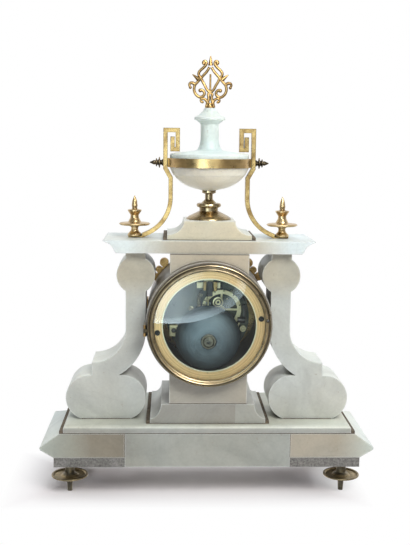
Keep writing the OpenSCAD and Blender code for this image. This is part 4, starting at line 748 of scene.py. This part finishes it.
def plate_bosses():
    """Ringed bosses, the largest on the bridge, with dark rings in their grooves as painted shade."""
    brass, dark = bmesh.new(), bmesh.new()
    for x, up, radius, rise in BOSSES:
        stand = rearward(x, up, PLATE_Y + rise * MM)
        turned(brass, [(share * radius, height) for share, height in BOSS_SHARES], stand)
        # Dark rings in the grooves: painted shade.
        turned(dark, [(share * radius, height) for share, height in GROOVE_SHARES], stand)
    add_piece("plate_bosses", brass, TRAIN_BRASS)
    add_piece("boss_groove_shade", dark, DARK_STEEL)


def count_bridge():
    """Bridge behind the count wheel: a post and an arm, bent under the crutch, that carries a boss."""
    bm = bmesh.new()
    turned(bm, BRIDGE_POST, rearward(*BRIDGE_FOOT, PLATE_Y))
    arm_y = PLATE_Y + (BRIDGE_RISE - BRIDGE_T) * MM
    for start, end in ((BRIDGE_BOSS, BRIDGE_KNEE), (BRIDGE_KNEE, BRIDGE_FOOT)):
        flat_bar(bm, start, end, BRIDGE_W, BRIDGE_T, arm_y)
    add_piece("count_bridge", bm, TRAIN_BRASS)


COIL_X, COIL_UP, COIL_R, COIL_WIRE_R = 8.9, (9.4, 21.0), 1.7, 0.45
COIL_TURNS, COIL_STEPS = 6, 8


def strike_spring():
    """Coil spring that stands along the back plate beside the bridge."""
    count = COIL_TURNS * COIL_STEPS
    points = []
    for i in range(count + 1):
        turn = 2 * math.pi * i / COIL_STEPS
        up = COIL_UP[0] + (COIL_UP[1] - COIL_UP[0]) * i / count
        out = COIL_R * (1 + math.sin(turn)) + COIL_WIRE_R
        points.append(behind(COIL_X + COIL_R * math.cos(turn), up, PLATE_Y + out * MM))
    bm = bmesh.new()
    bm.from_mesh(tubes([(points, COIL_WIRE_R, COIL_WIRE_R)]))
    add_piece("strike_spring", bm, TRAIN_BRASS)


BELL_UP = (BELL_Z - DRUM_Z) / MM
WASHER = [(7.6, 0.0), (7.6, 0.3), (7.2, 0.5), (2.2, 0.5)]
STUD_TIP = [(1.7, 0.0), (1.7, 0.2), (1.3, 0.45), (0.2, 0.5)]
WASHER_SUNK, TIP_SUNK = 0.2 * MM, 0.1 * MM


def bell_fittings():
    """Dark washer under the bell's nut, and the dark end of its stud."""
    bm = bmesh.new()
    turned(bm, WASHER, rearward(0.0, BELL_UP, bell_high[1] - WASHER_SUNK))
    turned(bm, STUD_TIP, rearward(0.0, BELL_UP, STUD_END_Y - TIP_SUNK))
    add_piece("bell_fittings", bm, DARK_STEEL)


def plate_screws():
    """Dark screw heads on the back plate."""
    bm = bmesh.new()
    for x, up, radius in SCREWS:
        turned(bm, [(share * radius, height) for share, height in SCREW_SHARES], rearward(x, up, PLATE_Y))
    add_piece("plate_screws", bm, DARK_STEEL)


BRACKET_X, BRACKET_UP, BRACKET_T = (29.0, 37.8), (-18.8, -7.8), 6.0
CLICK_SCREW_UP, CLICK_SCREW_R = -12.6, 2.3


def click_bracket():
    """Brass bracket beside the bell, with its dark screw."""
    bm = bmesh.new()
    face_y = PLATE_Y + BRACKET_T * MM
    block(bm, behind(BRACKET_X[0], BRACKET_UP[0], PLATE_Y), behind(BRACKET_X[1], BRACKET_UP[1], face_y))
    soften(add_piece("click_bracket", bm, TRAIN_BRASS), 0.5)
    bm = bmesh.new()
    turned(bm, [(CLICK_SCREW_R * share, height) for share, height in SCREW_SHARES],
           rearward(sum(BRACKET_X) / 2, CLICK_SCREW_UP, face_y))
    add_piece("click_screw", bm, DARK_STEEL)


SUSPENSION_POSTS = [((2.4, 5.2), (29.4, 38.0)), ((-8.2, -4.8), (28.9, 38.0))]
SUSPENSION_CLIP = ((-3.9, 1.3), (23.3, 38.0))
POST_T, CLIP_T = 3.6, 2.6


def suspension_mounts():
    """Gilt posts and a dark clip on the cock that holds the pendulum's spring."""
    bm = bmesh.new()
    for (x0, x1), (up0, up1) in SUSPENSION_POSTS:
        block(bm, behind(x0, up0, COCK_Y), behind(x1, up1, COCK_Y + POST_T * MM))
    soften(add_piece("suspension_posts", bm, GILT), 0.4)
    bm = bmesh.new()
    (x0, x1), (up0, up1) = SUSPENSION_CLIP
    block(bm, behind(x0, up0, COCK_Y), behind(x1, up1, COCK_Y + CLIP_T * MM))
    soften(add_piece("suspension_clip", bm, DARK_STEEL), 0.6)


STUD_AT = (-29.2, -9.2)
STUD_LEN, STUD_R = 6.6, 1.6
STUD_OUTLINE = [(STUD_R, 0.0), (STUD_R, STUD_LEN), (0.6 * STUD_R, STUD_LEN + 0.5)]
LEVERS = [((-18.6, 2.7), 1.7), ((-33.2, 0.6), 1.4)]
LEVER_T = 1.1
EYE_AT = (-35.1, -11.3)
EYE_OUTLINE = [(3.0, 0.0), (3.0, 3.2), (1.7, 3.2), (1.6, 2.4), (0.2, 2.4)]


def strike_levers():
    """Fixed guide levers of the strike on their stud, and a ring beside them."""
    bm = bmesh.new()
    turned(bm, STUD_OUTLINE, rearward(*STUD_AT, PLATE_Y))
    turned(bm, EYE_OUTLINE, rearward(*EYE_AT, PLATE_Y))
    lever_y = PLATE_Y + (STUD_LEN - LEVER_T) * MM
    for tip, width in LEVERS:
        flat_bar(bm, tip, STUD_AT, width, LEVER_T, lever_y)
    add_piece("strike_levers", bm, TRAIN_BRASS)


# Case details

JOINT_W, JOINT_T, JOINT_INSET = 0.5 * MM, 0.06 * MM, 0.4 * MM
BED_H, BED_OUT, BED_DEPTH = 0.55 * MM, 0.25 * MM, 0.2 * MM
STANDING = ["base_plate", "pedestal", "lower_pier", "upper_pedestal", "column_left", "column_right"]
HANGING = ["upper_pier", "column_left", "column_right"]


def bed_line(bm, name, side):
    """Adds dark filler, also painted shade in the seam, along the rear edge of a stone's bed: its bottom
    (side 0) or its top (side 1).
    """
    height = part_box(name)[side][2]
    corners = [v.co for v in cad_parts[name].data.vertices if abs(v.co.z - height) < BED_DEPTH]
    across = [c.x for c in corners]
    back = max(c.y for c in corners)
    low = height if side == 0 else height - BED_H
    block(bm, (min(across), back - JOINT_T, low), (max(across), back + BED_OUT, low + BED_H))


def stone_joints():
    """Dark filler in the upright joints of the base and, also as painted shade in the seams, the level joints
    of the case, on the back.
    """
    bm = bmesh.new()
    for x in (base_low[0], base_high[0]):
        block(bm, (x - JOINT_W / 2, BACK_Y - JOINT_T, end_low[2] + JOINT_INSET),
              (x + JOINT_W / 2, BACK_Y + JOINT_T, base_high[2] - JOINT_INSET))
    for name in STANDING:
        bed_line(bm, name, 0)
    for name in HANGING:
        bed_line(bm, name, 1)
    add_piece("stone_joints", bm, CEMENT)


GLASS_T = 1.6
LENS_STEPS, LENS_SIDES = 24, 72
LENS_EYE = 0.01


def lens(name, cad_node, body, face_turn):
    """Smooth bulged glass in the place of a door's glass; face_turn stands its axis outward."""
    low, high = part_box(cad_node)
    radius = (high[0] - low[0]) / 2 / MM
    sag = (high[1] - low[1]) / MM - GLASS_T
    bulge_r = (radius ** 2 + sag ** 2) / (2 * sag)
    radii = [radius * (i + LENS_EYE) / (LENS_STEPS + LENS_EYE) for i in range(LENS_STEPS + 1)]
    inner = [(r, math.sqrt(bulge_r ** 2 - r ** 2) - bulge_r + sag) for r in radii]
    outer = [(r, height + GLASS_T) for r, height in reversed(inner)]
    seat_y = low[1] if face_turn < 0 else high[1]
    bm = bmesh.new()
    stand = Matrix.Translation((0.0, seat_y, DRUM_Z)) @ Matrix.Rotation(face_turn, 4, "X")
    turned(bm, inner + outer, stand, LENS_SIDES)
    for face in bm.faces:
        face.smooth = True
    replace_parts(add_piece(name, bm, GLASS, body), cad_node)


CATCH_AT, CATCH_R, CATCH_SUNK = (-54.6, 6.0), 1.5, 0.4 * MM
CATCH_SHARES = [(1.0, 0.0), (1.0, 0.5), (0.6, 1.0), (0.1, 1.1)]


def door_catch():
    """Small dark knob of the rear door's catch."""
    bm = bmesh.new()
    turned(bm, [(share * CATCH_R, height * CATCH_R) for share, height in CATCH_SHARES],
           rearward(*CATCH_AT, BEZEL_Y - CATCH_SUNK))
    add_piece("door_catch", bm, DARK_STEEL, "rear_door")


urn_finial()
dial_figures()
plate_bosses()
count_bridge()
strike_spring()
bell_fittings()
plate_screws()
click_bracket()
suspension_mounts()
strike_levers()
stone_joints()
door_catch()
lens("rear_lens", "rear_glass", "rear_door", -math.pi / 2)
lens("front_lens", "front_glass", "front_door", math.pi / 2)


# Studio: white floor that keeps the shadow, white backdrop, a dimmer room behind the camera, soft lamps

AMBIENT = 0.20
ROOM = 0.32


def studio_world():
    """White for the camera; for mirrors a white backdrop, and on the camera's side a dim room."""
    world = bpy.data.worlds.new("studio")
    bpy.context.scene.world = world
    world.use_nodes = True
    tree = world.node_tree
    back = tree.nodes["Background"]
    rays = node(tree, "ShaderNodeLightPath").outputs
    heading = node(tree, "ShaderNodeTexCoord").outputs["Generated"]
    toward_camera = node(tree, "ShaderNodeSeparateXYZ", {"Vector": heading}).outputs["Y"]
    backdrop = map_range(tree, toward_camera, -0.45, 0.0, 1.0, ROOM)
    mirrored = math_node(tree, "MAXIMUM", rays["Is Glossy Ray"], rays["Is Transmission Ray"])
    level = map_range(tree, mirrored, 0.0, 1.0, AMBIENT, backdrop)
    strength = map_range(tree, rays["Is Camera Ray"], 0.0, 1.0, level, 1.0)
    tree.links.new(strength, back.inputs["Strength"])
    back.inputs["Color"].default_value = (1.0, 1.0, 1.0, 1.0)


FOOTPRINT = (max(abs(end_low[0]), abs(end_high[0])), BACK_Y)
SHADOW_DRIFT = {"X": 0.02, "Y": 0.0}
SHADOW_FADE = (-0.035, 0.02)
FLOOR_HALF = 0.8


def floor_material():
    """White floor that keeps the clock's shadow and, for the camera, fades to white beyond the base."""
    material, tree, shader = new_material("floor_white")
    output = tree.nodes["Material Output"]
    tree.nodes.remove(shader)
    diffuse = node(tree, "ShaderNodeBsdfDiffuse", Color=(0.91, 0.86, 0.89, 1.0))
    seen = node(tree, "ShaderNodeLightPath").outputs["Is Camera Ray"]
    outside = []
    for axis, half in zip("XY", FOOTPRINT):
        offset = math_node(tree, "SUBTRACT", along(tree, axis), SHADOW_DRIFT[axis])
        outside.append(math_node(tree, "SUBTRACT", math_node(tree, "ABSOLUTE", offset), half))
    fade = map_range(tree, math_node(tree, "MAXIMUM", *outside), *SHADOW_FADE)
    white = node(tree, "ShaderNodeEmission")
    blend = node(tree, "ShaderNodeMixShader",
                 {"Fac": math_node(tree, "MULTIPLY", seen, fade), 1: diffuse.outputs[0], 2: white.outputs[0]})
    tree.links.new(blend.outputs[0], output.inputs["Surface"])
    return material


def floor():
    """Square floor that mirrors leave out, so that its edge shows in none of them."""
    mesh = bpy.data.meshes.new("floor")
    corners = [(FLOOR_HALF * x, FLOOR_HALF * y, 0) for x, y in ((-1, -1), (1, -1), (1, 1), (-1, 1))]
    mesh.from_pydata(corners, [], [(0, 1, 2, 3)])
    made = bpy.data.objects.new("floor", mesh)
    bpy.context.scene.collection.objects.link(made)
    mesh.materials.append(floor_material())
    made.visible_glossy = False


def lamp(name, position, target, size, power, color):
    """Soft oblong lamp that looks at a target."""
    data = bpy.data.lights.new(name, "AREA")
    data.shape = "RECTANGLE"
    data.size, data.size_y = size
    data.energy = power
    data.color = color
    made = bpy.data.objects.new(name, data)
    made.location = position
    made.rotation_mode = "QUATERNION"
    made.rotation_quaternion = (Vector(target) - Vector(position)).to_track_quat("-Z", "Y")
    bpy.context.scene.collection.objects.link(made)
    return made


WINDOW_AT, WINDOW_HALF = Vector((0.770, 1.05, 0.508)), Vector((1.22, 1.0, 0.522))
WINDOW_TILT = math.radians(3.3)
WINDOW_SIDES = 72
WINDOW_LEVEL = 3.3
WINDOW_COLOR = (0.86, 1.0, 1.08, 1.0)


def window_light(name):
    """Cool light, brighter along the window's edge, that fades out far to one side."""
    material, tree, shader = new_material(name)
    output = tree.nodes["Material Output"]
    tree.nodes.remove(shader)
    offset = node(tree, "ShaderNodeVectorMath", {0: place(tree)}, operation="SUBTRACT")
    offset.inputs[1].default_value = WINDOW_AT
    share = node(tree, "ShaderNodeVectorMath", {0: offset.outputs["Vector"]}, operation="DIVIDE")
    share.inputs[1].default_value = WINDOW_HALF
    reach = node(tree, "ShaderNodeVectorMath", {0: share.outputs["Vector"]}, operation="LENGTH")
    edge = map_range(tree, reach.outputs["Value"], 0.90, 0.97, 0.0, 0.7 * WINDOW_LEVEL)
    across = along(tree, "X")
    field = map_range(tree, across, -0.02, 0.30, 0.14 * WINDOW_LEVEL, 1.25 * WINDOW_LEVEL)
    fade = map_range(tree, across, 0.55, 0.80, 1.0, 0.0)
    strength = math_node(tree, "MULTIPLY", math_node(tree, "ADD", edge, field), fade)
    light = node(tree, "ShaderNodeEmission", {"Strength": strength}, Color=WINDOW_COLOR)
    tree.links.new(light.outputs[0], output.inputs["Surface"])
    return material


def window():
    """Oval window behind the camera that only mirrors show: the pale patch on the rear glass."""
    turns = [2 * math.pi * i / WINDOW_SIDES for i in range(WINDOW_SIDES)]
    ring = [(WINDOW_HALF.x * math.cos(a), WINDOW_HALF.z * math.sin(a)) for a in turns]
    tilted = [(u * math.cos(WINDOW_TILT) - w * math.sin(WINDOW_TILT),
               u * math.sin(WINDOW_TILT) + w * math.cos(WINDOW_TILT)) for u, w in ring]
    outline = [(WINDOW_AT.x + x, WINDOW_AT.y, WINDOW_AT.z + z) for x, z in tilted]
    mesh = bpy.data.meshes.new("window")
    mesh.from_pydata(outline, [], [tuple(range(WINDOW_SIDES))])
    made = bpy.data.objects.new("window", mesh)
    bpy.context.scene.collection.objects.link(made)
    mesh.materials.append(window_light("window_light"))
    made.visible_camera = made.visible_diffuse = made.visible_shadow = False


studio_world()
floor()
window()
lamp("key", (-0.3, 0.85, 0.85), (0.0, 0.0, 0.2), (0.45, 0.45), 9.0, (1.0, 0.99, 0.96))
lamp("top", (-0.10, 0.0, 1.35), (0.0, 0.0, 0.1), (0.7, 0.7), 3.3, (0.90, 1.0, 1.07))
unmirrored = [
    lamp("front", (0.25, -1.10, 0.95), (0.0, 0.0, 0.22), (0.4, 0.4), 5.0, (1.0, 0.99, 0.96)),
    lamp("rim_right", (-0.95, -0.25, 0.5), (0.0, 0.0, 0.2), (0.5, 0.6), 3.0, (0.95, 1.0, 1.01)),
    lamp("rim_left", (0.95, -0.30, 0.5), (0.0, 0.0, 0.2), (0.5, 0.6), 2.0, (0.95, 1.0, 1.01)),
]
for light in unmirrored:
    light.visible_glossy = False


# Camera, fitted to the photograph's corners

CAMERA_AT = Vector((0.0374, BACK_Y + 0.8297, 0.3448))
YAW, PITCH, ROLL = math.radians(-2.26), math.radians(8.24), math.radians(0.70)
FOCAL_PX, LONG_SIDE_PX = 893.8, 545.0
SENSOR_W, CLIP_START = 36.0, 0.01


def photo_camera():
    """Camera behind the clock, where the photograph was taken."""
    data = bpy.data.cameras.new("camera")
    data.sensor_width = SENSOR_W
    data.lens = FOCAL_PX * SENSOR_W / LONG_SIDE_PX
    data.clip_start = CLIP_START
    ahead = Vector((math.sin(YAW), -math.cos(YAW), 0.0))
    right = Vector((-math.cos(YAW), -math.sin(YAW), 0.0))
    up = Vector((0.0, 0.0, 1.0))
    look = math.cos(PITCH) * ahead - math.sin(PITCH) * up
    over = math.sin(PITCH) * ahead + math.cos(PITCH) * up
    side = math.cos(ROLL) * right + math.sin(ROLL) * over
    crown = -math.sin(ROLL) * right + math.cos(ROLL) * over
    made = bpy.data.objects.new("camera", data)
    turn = Matrix((side, crown, -look)).transposed().to_4x4()
    made.matrix_world = Matrix.Translation(CAMERA_AT) @ turn
    bpy.context.scene.collection.objects.link(made)
    bpy.context.scene.camera = made


photo_camera()
bpy.context.scene.view_settings.view_transform = "Standard"
